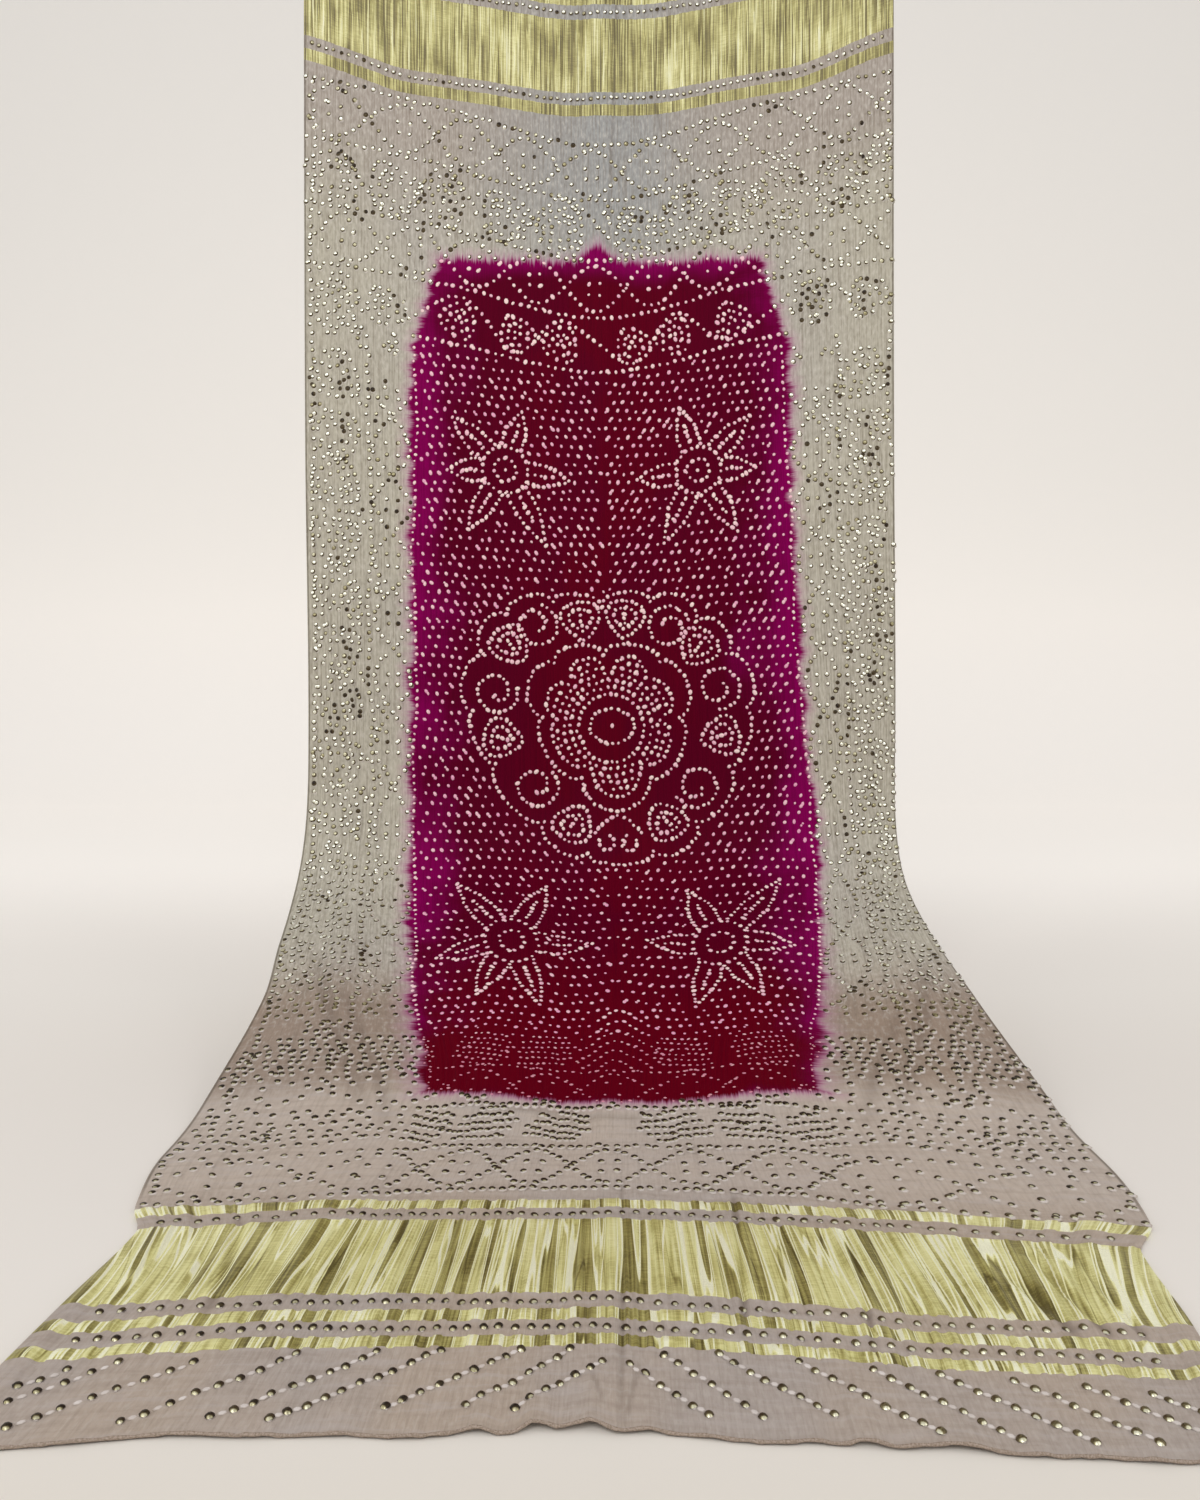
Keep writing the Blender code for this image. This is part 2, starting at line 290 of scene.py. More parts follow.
def gold_share(along):
    """1 in a gold band and 0 in the silk, changing over some millimetres of weave."""
    share = np.zeros_like(along)
    for band in GOLD_BANDS:
        inside = np.minimum(along - band.begins, band.ends - along)
        share = np.maximum(share, np.clip(0.5 + inside / 0.008, 0, 1))
    return share


def pleat_face(across, along):
    """0 in the valley between two pleats of gold tissue and 1 on their faces. They are finer where it hangs."""
    broad = wandering(across, along, 0.0062, 0.20, 6)
    small = wandering(across, along, 0.0034, 0.11, 7)
    lying = np.clip((along - 1.2) / 0.5, 0, 1)
    mixed = (0.74 * broad + 0.26 * small) * lying + (0.36 * broad + 0.64 * small) * (1 - lying)
    return np.clip((mixed - 0.38) / (0.24 - 0.11 * lying), 0, 1)


def creased(across, along):
    """Height of the creases, each a narrow trough between soft ridges, and how deep in a trough a place is."""
    height, trough = np.zeros_like(across), np.zeros_like(across)
    for crease in CREASES:
        run = np.array((crease.to_across - crease.across, crease.to_along - crease.along))
        reach = ((across - crease.across) * run[0] + (along - crease.along) * run[1]) / (run @ run)
        t = np.clip(reach, 0, 1)
        beside = np.hypot(across - crease.across - t * run[0], along - crease.along - t * run[1])
        depth = crease.depth * np.sin(math.pi * np.clip(0.12 + 0.76 * t, 0, 1)) ** 0.6
        deep = depth * bump(beside, crease.half_width)
        height += 0.55 * depth * bump(beside, 2.6 * crease.half_width) - deep
        trough = np.maximum(trough, deep / 0.0030)
    return height, np.clip(trough, 0, 1)


def crinkle(across, along):
    """The yarn's lengthwise crinkle, which the stiffer gold tissue gathers into taller pleats."""
    silk = 0.0009 * wandering(across, along, 0.0062, 0.22, 3) + 0.0006 * wandering(across, along, 0.0038, 0.10, 4)
    silk += 0.0018 * wandering(across, along, 0.021, 0.35, 5) ** 2
    pleat = 0.0024 * pleat_face(across, along) + 0.0008 * wandering(across, along, 0.0044, 0.06, 9)
    share = gold_share(along)
    return silk * (1 - share) + pleat * share + creased(across, along)[0]


def row_of_cloth(along):
    """Points and flat places of one row, from one selvedge round both turned edges to the other."""
    edge = float(turned_edge(along))
    turned = CLOTH_WIDTH / 2 - edge
    radius = (THICKNESS + TURN_GAP) / 2
    across = np.linspace(-edge, edge, FRONT_POINTS)
    places = np.full_like(across, along)
    relief = crinkle(across, places) * smooth(edge - np.abs(across), (0.0, 0.006), (0.15, 1.0))
    front = fold_height(across, along) + margin_rise(across, along) + relief
    points = [lay(sideways(across, along), across, along, front)]
    flats = [across]
    angle = math.pi * np.arange(1, BEND_POINTS + 1) / (BEND_POINTS + 1)
    share = np.linspace(0, 1, UNDER_POINTS)
    for side in (-1, 1):
        at_edge = np.full(BEND_POINTS, side * edge)
        x_edge = sideways(at_edge[:1], along)
        below = side * (edge - share * turned)
        x = np.concatenate((x_edge + side * radius * np.sin(angle), x_edge - side * share * turned))
        round_edge = fold_height(at_edge, along) + radius * (1 + np.cos(angle))
        forward = np.concatenate((round_edge, fold_height(below, along)))
        under = lay(x, np.concatenate((at_edge, below)), along, forward)
        beyond = np.concatenate((at_edge, side * (edge + share * turned)))
        points = [under[::-1]] + points if side < 0 else points + [under]
        flats = [beyond[::-1]] + flats if side < 0 else flats + [beyond]
    return np.concatenate(points), np.concatenate(flats)


def in_gold(along):
    return any(band.begins < along < band.ends for band in GOLD_BANDS)


def woven_rows():
    """Places of the rows along the cloth, with one at each end of each gold band."""
    ends = sorted([0.0, STRAIGHT_RUN[1], CLOTH_LENGTH] + [place for band in GOLD_BANDS for place in band])
    rows = []
    for begin, end in zip(ends, ends[1:]):
        middle = (begin + end) / 2
        pitch = GOLD_ROW_PITCH if in_gold(middle) else ROW_PITCH
        pitch = STRAIGHT_ROW_PITCH if STRAIGHT_RUN[0] < middle < STRAIGHT_RUN[1] else pitch
        count = max(2, int(round((end - begin) / pitch)))
        rows += list(np.linspace(begin, end, count, endpoint=False))
    return np.array(rows + [CLOTH_LENGTH])


cloth_along = woven_rows()
laid = [row_of_cloth(place) for place in cloth_along]
cloth_points = np.array([points for points, _ in laid])
cloth_points[..., 2] = np.maximum(cloth_points[..., 2], FLOOR_GAP)
cloth_across = np.array([flat for _, flat in laid])


def put_attribute(mesh, name, values):
    """Store a number, or a flat place, at each point of a mesh for its finish to read."""
    kind = "FLOAT" if values.ndim == 1 else "FLOAT_VECTOR"
    attribute = mesh.attributes.new(name, kind, "POINT")
    attribute.data.foreach_set("value" if values.ndim == 1 else "vector", values.astype(np.float32).ravel())


def make_mesh(name, points, faces, material):
    mesh = bpy.data.meshes.new(name)
    mesh.vertices.add(len(points))
    mesh.vertices.foreach_set("co", points.astype(np.float32).ravel())
    sides = faces.shape[1]
    mesh.loops.add(faces.size)
    mesh.loops.foreach_set("vertex_index", faces.astype(np.int32).ravel())
    mesh.polygons.add(len(faces))
    mesh.polygons.foreach_set("loop_start", np.arange(0, faces.size, sides, dtype=np.int32))
    mesh.update(calc_edges=True)
    mesh.shade_smooth()
    mesh.materials.append(material)
    piece = bpy.data.objects.new(name, mesh)
    bpy.context.scene.collection.objects.link(piece)
    return piece


def cut_of_cloth(name, rows, material):
    """The part of the woven length between the given pairs of rows, as one mesh."""
    used = np.zeros(len(cloth_along), bool)
    for row in rows:
        used[[row, row + 1]] = True
    columns = cloth_points.shape[1]
    new_row = np.cumsum(used) - 1
    j = np.arange(columns - 1)
    faces = []
    for row in rows:
        upper, lower = new_row[row] * columns, new_row[row + 1] * columns
        faces.append(np.stack((upper + j, lower + j, lower + j + 1, upper + j + 1), axis=1))
    piece = make_mesh(name, cloth_points[used].reshape(-1, 3), np.concatenate(faces), material)
    flat = np.zeros((used.sum(), columns, 3))
    flat[..., 0] = cloth_across[used]
    flat[..., 1] = cloth_along[used][:, None]
    flat = flat.reshape(-1, 3)
    put_attribute(piece.data, "flat_place", flat)
    put_attribute(piece.data, "trough", creased(flat[:, 0], flat[:, 1])[1])
    return piece


def joined(operation, turned_round=False):
    """A way for a socket to join another, or a number, in one sum."""

    def join(self, other=0.0):
        first, second = (other, self) if turned_round else (self, other)
        return self.node("ShaderNodeMath", {"operation": operation}, {0: first, 1: second})

    return join


class Shade:
    """A socket of a finish's nodes, which adds and multiplies like a number."""

    def __init__(self, tree, socket=None):
        self.tree = tree
        self.socket = socket

    def node(self, kind, settings=(), sockets=(), out=0):
        made = self.tree.nodes.new(kind)
        for name, value in dict(settings).items():
            setattr(made, name, value)
        for name, value in dict(sockets).items():
            if isinstance(value, Shade):
                self.tree.links.new(value.socket, made.inputs[name])
            else:
                made.inputs[name].default_value = value
        return Shade(self.tree, made.outputs[out])

    __add__, __radd__ = joined("ADD"), joined("ADD", turned_round=True)
    __sub__, __rsub__ = joined("SUBTRACT"), joined("SUBTRACT", turned_round=True)
    __mul__, __rmul__ = joined("MULTIPLY"), joined("MULTIPLY", turned_round=True)
    __truediv__, __pow__, __abs__ = joined("DIVIDE"), joined("POWER"), joined("ABSOLUTE")
    least, most = joined("MINIMUM"), joined("MAXIMUM")

    def rise(self, low, high):
        """0 below low and 1 above high, with a soft step between."""
        sockets = {"Value": self, "From Min": low, "From Max": high}
        return self.node("ShaderNodeMapRange", {"interpolation_type": "SMOOTHSTEP"}, sockets)

    def mix(self, none, full):
        """The colour none where this is 0, and full where it is 1."""
        return self.node("ShaderNodeMix", {"data_type": "RGBA"}, {0: self, 6: none, 7: full}, 2)

    def along_flat(self, per_across, per_along, detail=2.0, rough=0.5):
        """Noise on the flat place that this holds, with its features that many to the metre."""
        stretch = {0: self, 1: (per_across, per_along, 1.0)}
        scaled = self.node("ShaderNodeVectorMath", {"operation": "MULTIPLY"}, stretch)
        sockets = {"Vector": scaled, "Scale": 1.0, "Detail": detail, "Roughness": rough}
        return self.node("ShaderNodeTexNoise", {"noise_dimensions": "2D"}, sockets)

    def threads(self, direction, scale, waver):
        """Even bands on the flat place that this holds, across it for X and along it for Y."""
        sockets = {"Vector": self, "Scale": scale, "Distortion": waver}
        return self.node("ShaderNodeTexWave", {"bands_direction": direction}, sockets)

    def ramp(self, *stops):
        """The colour at this share of a row of stops, each its place and a colour as seen."""
        made = self.node("ShaderNodeValToRGB", {}, {0: self})
        elements = made.socket.node.color_ramp.elements
        elements.remove(elements[0])
        elements[0].position, elements[0].color = stops[0][0], dyed(*stops[0][1])
        for place, seen in stops[1:]:
            elements.new(place).color = dyed(*seen)
        return made

    def part(self, axis):
        """One part of a place: 0 is across or sideways, 1 is along or inwards, and 2 is up."""
        return self.node("ShaderNodeSeparateXYZ", {}, {0: self}, axis)

    def held(self, name, vector=False):
        """What a mesh stores at each point under a name: a number, or a place."""
        return self.node("ShaderNodeAttribute", {"attribute_name": name}, {}, 1 if vector else 2)

    def bump(self, distance, strength=1.0):
        return self.node("ShaderNodeBump", {}, {"Height": self, "Distance": distance, "Strength": strength})


def dyed(red, green, blue):
    """A colour as seen, 0 to 255, turned into light."""
    seen = np.array((red, green, blue)) / 255
    light = np.where(seen <= 0.04045, seen / 12.92, ((seen + 0.055) / 1.055) ** 2.4)
    return (*light, 1.0)


def layered(colour, *layers):
    """A colour with others, as seen, laid over it in turn, each by its own share."""
    for share, seen in layers:
        colour = share.mix(colour, dyed(*seen))
    return colour


def new_finish(name, metallic=0.0, roughness=0.5, specular=0.5):
    material = bpy.data.materials.new(name)
    material.use_nodes = True
    shader = material.node_tree.nodes["Principled BSDF"]
    for word, value in (("Metallic", metallic), ("Roughness", roughness), ("Specular IOR Level", specular)):
        shader.inputs[word].default_value = value
    start = Shade(material.node_tree)
    return material, shader, start.held("flat_place", vector=True)


def apply_to(shader, flat, **values):
    for name, value in values.items():
        flat.tree.links.new(value.socket, shader.inputs[name.replace("_", " ")])


# The panel on the flat: half width, where it begins and ends, how these ends bow, and its cut corners
PANEL_SIDE, PANEL_TOP, PANEL_END = 0.2915, 0.5120, 1.9125
TOP_BOW, END_BOW = 0.26, 0.06
CORNER_ACROSS, CORNER_ALONG, CORNER_CUT = 0.29, 0.655, (-0.947, 0.319)
# Painted shade along the fold at each selvedge: where it runs across, and half its width
FOLD_LINE_ACROSS, FOLD_LINE_HALF = 0.4392, 0.0016


def panel_edges(across, along, top=PANEL_TOP, bow=TOP_BOW):
    """How far inside the sides, the top, the end and the cut corners of the panel a place is."""
    return (
        PANEL_SIDE - abs(across),
        along - top - across * across * bow,
        PANEL_END - along - across * across * END_BOW,
        (abs(across) - CORNER_ACROSS) * CORNER_CUT[0] + (along - CORNER_ALONG) * CORNER_CUT[1],
    )


def silk_colours(flat):
    """The silk's colour at a flat place, taupe ground round a dip-dyed magenta panel with painted light and shade,
    and its streaks.
    """
    across, along = flat.part(0), flat.part(1)
    drift = flat.along_flat(5.0, 3.0, 3.0)
    streaks = flat.along_flat(420.0, 9.0, 3.0, 0.6)
    crumple = flat.along_flat(260.0, 95.0, 2.0, 0.55)
    strokes = flat.along_flat(12.0, 120.0, 3.0, 0.6)
    lies = along.rise(1.60, 1.95)
    hanging = layered(
        drift.rise(0.35, 0.65).mix(dyed(193, 187, 171), dyed(184, 178, 168)),
        ((abs(across) + drift * 0.12).rise(0.34, 0.50), (189, 183, 167)),
        (1 - (along + drift * 0.10).rise(0.38, 0.58), (176, 166, 157)),
        # Painted shade of the folds: a cooler grey over the top of the middle
        ((1 - (abs(across) + drift * 0.15).rise(0.06, 0.34)) * (1 - along.rise(0.42, 0.70)), (163, 163, 162)),
    )
    lying = layered(
        drift.rise(0.35, 0.65).mix(dyed(181, 165, 151), dyed(176, 164, 156)),
        (along.rise(1.84, 1.93) * (1 - along.rise(2.06, 2.14)) * 0.6, (203, 189, 176)),
    )
    # Painted shade along the fold at each selvedge, stopping before the gold where it lies
    fold_shade = (1 - (abs(abs(across) - FOLD_LINE_ACROSS) / FOLD_LINE_HALF).least(1.0)) * (1 - along.rise(2.06, 2.12))
    ground = layered(
        (along + drift * 0.16).rise(1.64, 1.86).mix(hanging, lying),
        # Painted shade where the cloth sweeps down to the floor
        ((along + drift * 0.1).rise(1.68, 1.80) * (1 - along.rise(1.86, 1.93)) * 0.66, (147, 126, 108)),
        # Over the ground: painted shade along the crinkle's lengthwise streaks, painted highlights and painted shade
        # on its crumples, paler and darker bands across where it lies, painted shade in the crease troughs, and
        # painted shade along the fold at each selvedge
        (streaks.rise(0.42, 0.72) * (0.44 - lies * 0.28), (128, 116, 102)),
        (crumple.rise(0.50, 0.74) * (0.32 - lies * 0.20), (222, 216, 207)),
        ((1 - crumple.rise(0.28, 0.47)) * (0.22 - lies * 0.12), (108, 97, 86)),
        (strokes.rise(0.50, 0.72) * lies * 0.30, (190, 181, 178)),
        ((1 - strokes.rise(0.30, 0.48)) * lies * 0.16, (138, 122, 110)),
        (flat.held("trough") * 0.6, (104, 90, 80)),
        (fold_shade * 0.75, (88, 80, 68)),
    )
    # The dye wicks out in short hairs along the yarn, and its top runs up the crease of the middle
    wobble = (flat.along_flat(2.0, 11.0, 3.0, 0.7) - 0.5) * 0.030
    wick_side = (flat.along_flat(22.0, 75.0, 2.0) - 0.5) * 0.018 + (flat.along_flat(60.0, 420.0, 1.0) - 0.5) * 0.009
    wick_end = (flat.along_flat(90.0, 14.0, 2.0) - 0.5) * 0.012 + (flat.along_flat(430.0, 30.0, 1.0) - 0.5) * 0.018
    flare = (1 - (abs(across + 0.006) / 0.046).least(1.0)) ** 1.7 * 0.028
    side, top, end, corner = panel_edges(across, along)
    side = side + wobble + wick_side
    end = end + wick_end * 0.55
    corner = corner + wobble * 0.7 + wick_side
    inside = side.least(top + flare + wick_end).least(end).least(corner)
    # It is deeper red away from its edges and most of all down the middle, and deeper still where it sweeps down and
    # lies, which is painted shade
    mottle = flat.along_flat(9.0, 6.0, 3.0)
    depth = side.least(end * 2.2).least(corner * 1.5).least(top * 2.4)
    deep = (depth + (mottle - 0.5) * 0.16 + along.rise(1.74, 1.86) * 0.045).rise(-0.004, 0.088)
    panel = layered(
        deep.mix(dyed(134, 1, 84), dyed(88, 0, 30)),
        ((1 - (abs(across) / 0.20).rise(0.2, 1.0)) * (1 - mottle.rise(0.46, 0.62) * 0.75) * deep, (94, 0, 25)),
        ((along + drift * 0.1).rise(1.60, 1.84) * deep, (98, 0, 20)),
        # Painted shade along the crinkle's lengthwise streaks
        (streaks.rise(0.35, 0.75) * 0.30, (60, 0, 20)),
    )
    halo = layered(
        ground,
        (inside.rise(-0.024, 0.0) * 0.42, (196, 150, 172)),
        (inside.rise(-0.009, 0.002) * 0.65, (158, 56, 124)),
    )
    return inside.rise(-0.0040, 0.0050).mix(halo, panel), streaks


def weave(flat):
    """Height of the threads: a plain weave of about 1 mm, with the crinkle of twisted yarn over it."""
    crinkles = flat.along_flat(560.0, 26.0, 3.0, 0.6)
    return crinkles * 0.8 + (flat.threads("X", 320.0, 0.6) * flat.threads("Y", 320.0, 0.6)) * 0.12


silk, shader, flat = new_finish("crinkled_silk", roughness=0.58, specular=0.02)
colour, streaks = silk_colours(flat)
apply_to(shader, flat, Base_Color=colour, Roughness=0.68 - streaks * 0.25, Normal=weave(flat).bump(0.0005, 0.7))

band_rows, silk_rows = [], []
for row, (here, there) in enumerate(zip(cloth_along, cloth_along[1:])):
    middle = (here + there) / 2
    (band_rows if in_gold(middle) else silk_rows).append(row)
silk_sheet = cut_of_cloth("silk_sheet", silk_rows, silk)
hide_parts("cloth")
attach(silk_sheet, "root")

# ---- Gold tissue bands ---------------------------------------------------------------------------
# The weft of each band is flat gilt strip in place of silk. It is woven into the same length, and
# does not shrink with the crinkled yarn, so it stands in shiny uneven pleats.
tissue, shader, flat = new_finish("gold_tissue", metallic=0.12, roughness=0.36, specular=0.4)
lies = flat.part(1).rise(1.2, 1.7)
lines = flat.along_flat(330.0, 8.0, 2.0, 0.6) * lies + flat.along_flat(420.0, 6.0, 2.0, 0.6) * (1 - lies)
narrow = 1 - (flat.part(1) - 0.275).rise(-0.002, 0.002) * (1 - lies) * 0.24
grain = flat.along_flat(70.0, 600.0, 2.0)
patches = flat.along_flat(20.0, 14.0, 2.0)
# Painted light and shade of the pleats: each has a painted dark valley, a painted highlight along its
# edge and a calmer face, with lines, grain and patches of it at random, painted dark nips where it
# lies, and painted shade in the crease troughs
pleats = flat.along_flat(70.0, 2.8, 1.0, 0.35) * lies + flat.along_flat(190.0, 4.0, 2.0, 0.5) * (1 - lies)
pleats = pleats + lies * 0.025
faces = pleats.rise(0.440, 0.462)
edge_highlights = pleats.rise(0.45, 0.465) * (1 - pleats.rise(0.49, 0.52))
edge_highlights = edge_highlights + pleats.rise(0.57, 0.585) * (1 - pleats.rise(0.60, 0.62))
nip_shade = 1 - (abs(flat.along_flat(58.0, 3.0, 1.0, 0.3) - 0.53) / 0.016).least(1.0)
calm = 0.40 + lies * 0.60
pleat_light = 0.26 - lies * 0.01 + faces * calm * 0.31 + edge_highlights * calm * 0.58 + (lines - 0.5) * (1.7 - lies * 1.0)
pleat_light = pleat_light + (grain - 0.5) * 0.30 + (patches - 0.5) * (0.70 - lies * 0.25) - nip_shade * lies * 0.24
pleat_light = ((pleat_light - flat.held("trough") * (0.55 - lies * 0.35)) * narrow).most(0.0).least(1.0)
strip = flat.threads("Y", 700.0, 0.4)
# The gilt colour runs from painted shade in the valleys to painted highlights
gilt = pleat_light.ramp(
    (0.02, (92, 82, 34)), (0.22, (144, 134, 72)), (0.42, (190, 182, 112)),
    (0.60, (228, 223, 154)), (0.80, (248, 245, 188)), (1.0, (255, 254, 222)),
)
gilt = layered(gilt, (strip * 0.12, (150, 138, 84)), (0.14 - lies * 0.14, (186, 178, 160)))
relief = lines * 0.7 + pleats * 1.2 + strip * 0.05 + grain * 0.3
apply_to(shader, flat, Base_Color=gilt, Roughness=0.46 - pleat_light * 0.20, Normal=relief.bump(0.0012, 0.8))
gold_bands = cut_of_cloth("gold_bands", band_rows, tissue)
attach(gold_bands, "root")

# ---- Where the silk is tied ----------------------------------------------------------------------
# Each mark of the pattern is one pinch of silk, bound tight before dyeing. The tier works freehand in
# rows, waves, curls and stars from a charcoal guide, so the spacing wanders. Places are flat metres.
MEDALLION = (0.0031, 1.2075)
# Pitch of the ties: where the cloth hangs, where it lies, and by the panel, then in each kind of motif
TIE_PITCH, LYING_PITCH, CLOSE_PITCH = 0.0118, 0.0126, 0.0105
MANGO_PITCH, PETAL_PITCH, BOW_PITCH, END_PITCH = 0.0098, 0.0086, 0.0088, 0.0142


def pitch_at(along):
    return TIE_PITCH if along < 1.0 else LYING_PITCH


def pairs(across, along):
    """Flat places, one to a row."""
    return np.stack((across, along), axis=1)


def strung(points, pitch=TIE_PITCH, closed=False):
    """Ties at an even pitch along a soft curve through a few guide points."""
    points = np.array(points, float)
    if closed:
        points = np.concatenate((points[-1:], points, points[:2]))
    else:
        points = np.concatenate((2 * points[:1] - points[1:2], points, 2 * points[-1:] - points[-2:-1]))
    line = []
    for a, b, c, d in zip(points, points[1:], points[2:], points[3:]):
        t = np.linspace(0, 1, 24, endpoint=False)[:, None]
        line.append(0.5 * (2 * b + (c - a) * t + (2 * a - 5 * b + 4 * c - d) * t**2 + (3 * b - a - 3 * c + d) * t**3))
    line = np.concatenate(line + [points[-2:-1]])
    run = np.concatenate(([0], np.cumsum(np.linalg.norm(np.diff(line, axis=0), axis=1))))
    count = max(2, int(round(run[-1] / pitch)) + (0 if closed else 1))
    at = np.linspace(0, run[-1], count, endpoint=not closed)
    return pairs(np.interp(at, run, line[:, 0]), np.interp(at, run, line[:, 1]))


def oval(middle, half_width, half_length, count, turn=0.0):
    angle = turn + np.arange(count) * math.tau / count
    return pairs(middle[0] + half_width * np.sin(angle), middle[1] - half_length * np.cos(angle))


def placed(shape, middle, tilt=0.0, hand=1, stretch=1.0):
    """A motif set at its place, tilted clockwise in degrees, mirrored where hand is -1."""
    shape = np.array(shape, float) * (hand, 1.0)
    turn = math.radians(tilt)
    x = shape[:, 0] * math.cos(turn) - shape[:, 1] * math.sin(turn)
    y = shape[:, 0] * math.sin(turn) + shape[:, 1] * math.cos(turn)
    return pairs(middle[0] + x, middle[1] + y * stretch)


def fern_curl(size, pitch):
    """A curl: one line of ties that rises, turns over and winds into its own middle."""
    line = [
        (size * r * math.cos(t), size * r * math.sin(t))
        for t, r in zip(np.linspace(2.6, 2.6 + math.tau * 1.36, 18), 0.60 - 0.42 * np.linspace(0, 1, 18) ** 1.7)
    ]
    return strung(line, pitch)


def mango_outline(size, count):
    """Points round a mango, which narrows to its tip."""
    t = np.linspace(0, math.tau, count, endpoint=False)
    return pairs(size * 0.50 * np.sin(t) * (1.0 - 0.42 * np.cos(t)), -size * 0.52 * np.cos(t) + size * 0.05)


def filled_mango(size, pitch):
    """A mango with a smaller one tied inside it and a short line at its heart."""
    outline = mango_outline(size, 14)
    inner = outline * (0.58, 0.56) + (0.0, size * 0.05)
    vein = [(0.0, -size * 0.06), (size * 0.02, size * 0.20)]
    return np.concatenate((strung(outline, pitch, True), strung(inner, pitch, True), strung(vein, pitch)))


def dotted_mango(size, pitch):
    """A mango with its whole body worked in close rows of ties."""
    outline = mango_outline(size, 40)
    rows = [outline[np.linspace(0, 40, max(5, int(2.9 * size / pitch)), endpoint=False).astype(int)]]
    for share in np.arange(1 - 2.1 * pitch / size, 0.15, -2.1 * pitch / size):
        inner = pairs(outline[:, 0] * share, (outline[:, 1] - size * 0.05) * share + size * 0.08)
        spots = np.linspace(2, 42, max(3, int(2.9 * size * share / pitch)), endpoint=False)
        rows.append(inner[spots.astype(int) % 40])
    return np.concatenate(rows)


def rowed_mango(size, pitch, gap):
    """A wide mango in straight rows of ties, each row shifted by half a tie, narrowing to its tip."""
    ties = []
    for i, v in enumerate(np.arange(-0.40 * size, 0.41 * size, gap)):
        half = 0.53 * size * math.sqrt(max(0.0, 1 - (v / (0.48 * size)) ** 2))
        lean = 0.36 * v
        ties += [(u + lean + 0.5 * pitch * (i % 2), v) for u in np.arange(-half, half + 0.001, pitch)]
    return np.array(ties)


def bow(begin, end, rise, away, pitch):
    """A scallop of ties from begin to end, standing out by rise on the side away from a point."""
    begin, end = np.array(begin, float), np.array(end, float)
    middle, half = (begin + end) / 2, (end - begin) / 2
    out = np.array((-half[1], half[0])) / np.linalg.norm(half)
    out = out if out @ (middle - away) > 0 else -out
    turns = np.linspace(0, math.pi, 11)
    return strung([middle - half * math.cos(t) + out * rise * math.sin(t) for t in turns], pitch)


def clear_of(places, others, gap):
    """Which places are farther than gap from all the others."""
    keep = np.ones(len(places), bool)
    for begin in range(0, len(places), 400):
        part = places[begin:begin + 400]
        distance = np.hypot(part[:, None, 0] - others[None, :, 0], part[:, None, 1] - others[None, :, 1])
        keep[begin:begin + 400] = distance.min(axis=1) > gap
    return keep


def four_knots(middle, gap=0.0080):
    return [(middle[0] + u * gap, middle[1] + v * gap) for u in (-1, 1) for v in (-1, 1)]


# How far each row of ties sags or lifts away from straight, across the cloth
SAG_PLACES = (-0.47, -0.43, -0.31, -0.20, -0.13, -0.06, 0.0, 0.06, 0.13, 0.20, 0.31, 0.43, 0.47)
TOP_SAG = (-0.018, -0.023, -0.035, -0.026, -0.015, -0.006, 0.0, -0.006, -0.016, -0.027, -0.036, -0.022, -0.018)
LOW_SAG = (0.022, 0.022, 0.018, 0.004, 0.001, 0.0, 0.0, 0.0, 0.001, 0.005, 0.022, 0.024, 0.022)


def across_row(middle, sag, share=1.0):
    return lambda across: middle + share * smooth(across, SAG_PLACES, sag)


ties = []
ROWS = table(
    "middle sag share reach",
    (0.3373, TOP_SAG, 1.0, 0.437), (0.42, TOP_SAG, 1.0, 0.437), (0.51, TOP_SAG, 1.0, 0.437),
    (0.5958, TOP_SAG, 1.1, 0.437), (0.6775, TOP_SAG, 1.0, 0.29), (1.856, LOW_SAG, 0.5, 0.437),
    (1.924, LOW_SAG, 0.8, 0.437), (2.004, LOW_SAG, 1.1, 0.437), (2.0955, LOW_SAG, 0.8, 0.437),
)
for row in ROWS:
    across = np.linspace(-row.reach, row.reach, 25)
    ties.append(strung(pairs(across, across_row(row.middle, row.sag, row.share)(across)), pitch_at(row.middle)))

DIAMONDS = table(
    "middle depth sag share cell phase",
    (0.379, 0.034, TOP_SAG, 1.0, 0.096, -0.014), (0.553, 0.034, TOP_SAG, 1.05, 0.0925, -0.008),
    (1.89, 0.026, LOW_SAG, 0.6, 0.105, 0.006), (2.05, 0.036, LOW_SAG, 1.0, 0.098, 0.004),
)
for row in DIAMONDS:
    middle_line = across_row(row.middle, row.sag, row.share)
    across = np.linspace(-0.432, 0.432, 72)
    # Two waves cross to make the diamonds, with four ties in each
    for upside in (-1, 1):
        wave = middle_line(across) + upside * row.depth * np.cos(math.pi * (across - row.phase) / row.cell)
        ties.append(strung(pairs(across, wave), pitch_at(row.middle)))
    for cell in range(-4, 5):
        at = row.phase + cell * row.cell
        if abs(at) < 0.425:
            ties.append(four_knots((at, float(middle_line(at))), 0.0084 if row.middle < 1.0 else 0.0105))

MANGO_ROWS = table(
    "middle sag share size stretch tilt gap places",
    (0.465, TOP_SAG, 1.0, 0.07, 1.0, 34, 0, (
        -0.395, -0.318, -0.24, -0.15, -0.056, 0.056, 0.13, 0.205, 0.285, 0.362, 0.418)),
    (0.637, TOP_SAG, 1.0, 0.051, 1.0, 28, 0, (
        -0.4, -0.33, -0.216, -0.131, -0.059, 0.048, 0.116, 0.203, 0.33, 0.4)),
    (1.824, LOW_SAG, 0.5, 0.082, 0.9, 8, 0.011, (
        -0.4, -0.318, -0.198, -0.101, 0.1, 0.217, 0.33, 0.405)),
    (1.964, LOW_SAG, 0.9, 0.08, 1.0, 10, 0.0134, (
        -0.425, -0.358, -0.272, -0.179, -0.072, 0.087, 0.183, 0.276, 0.36, 0.425)),
)
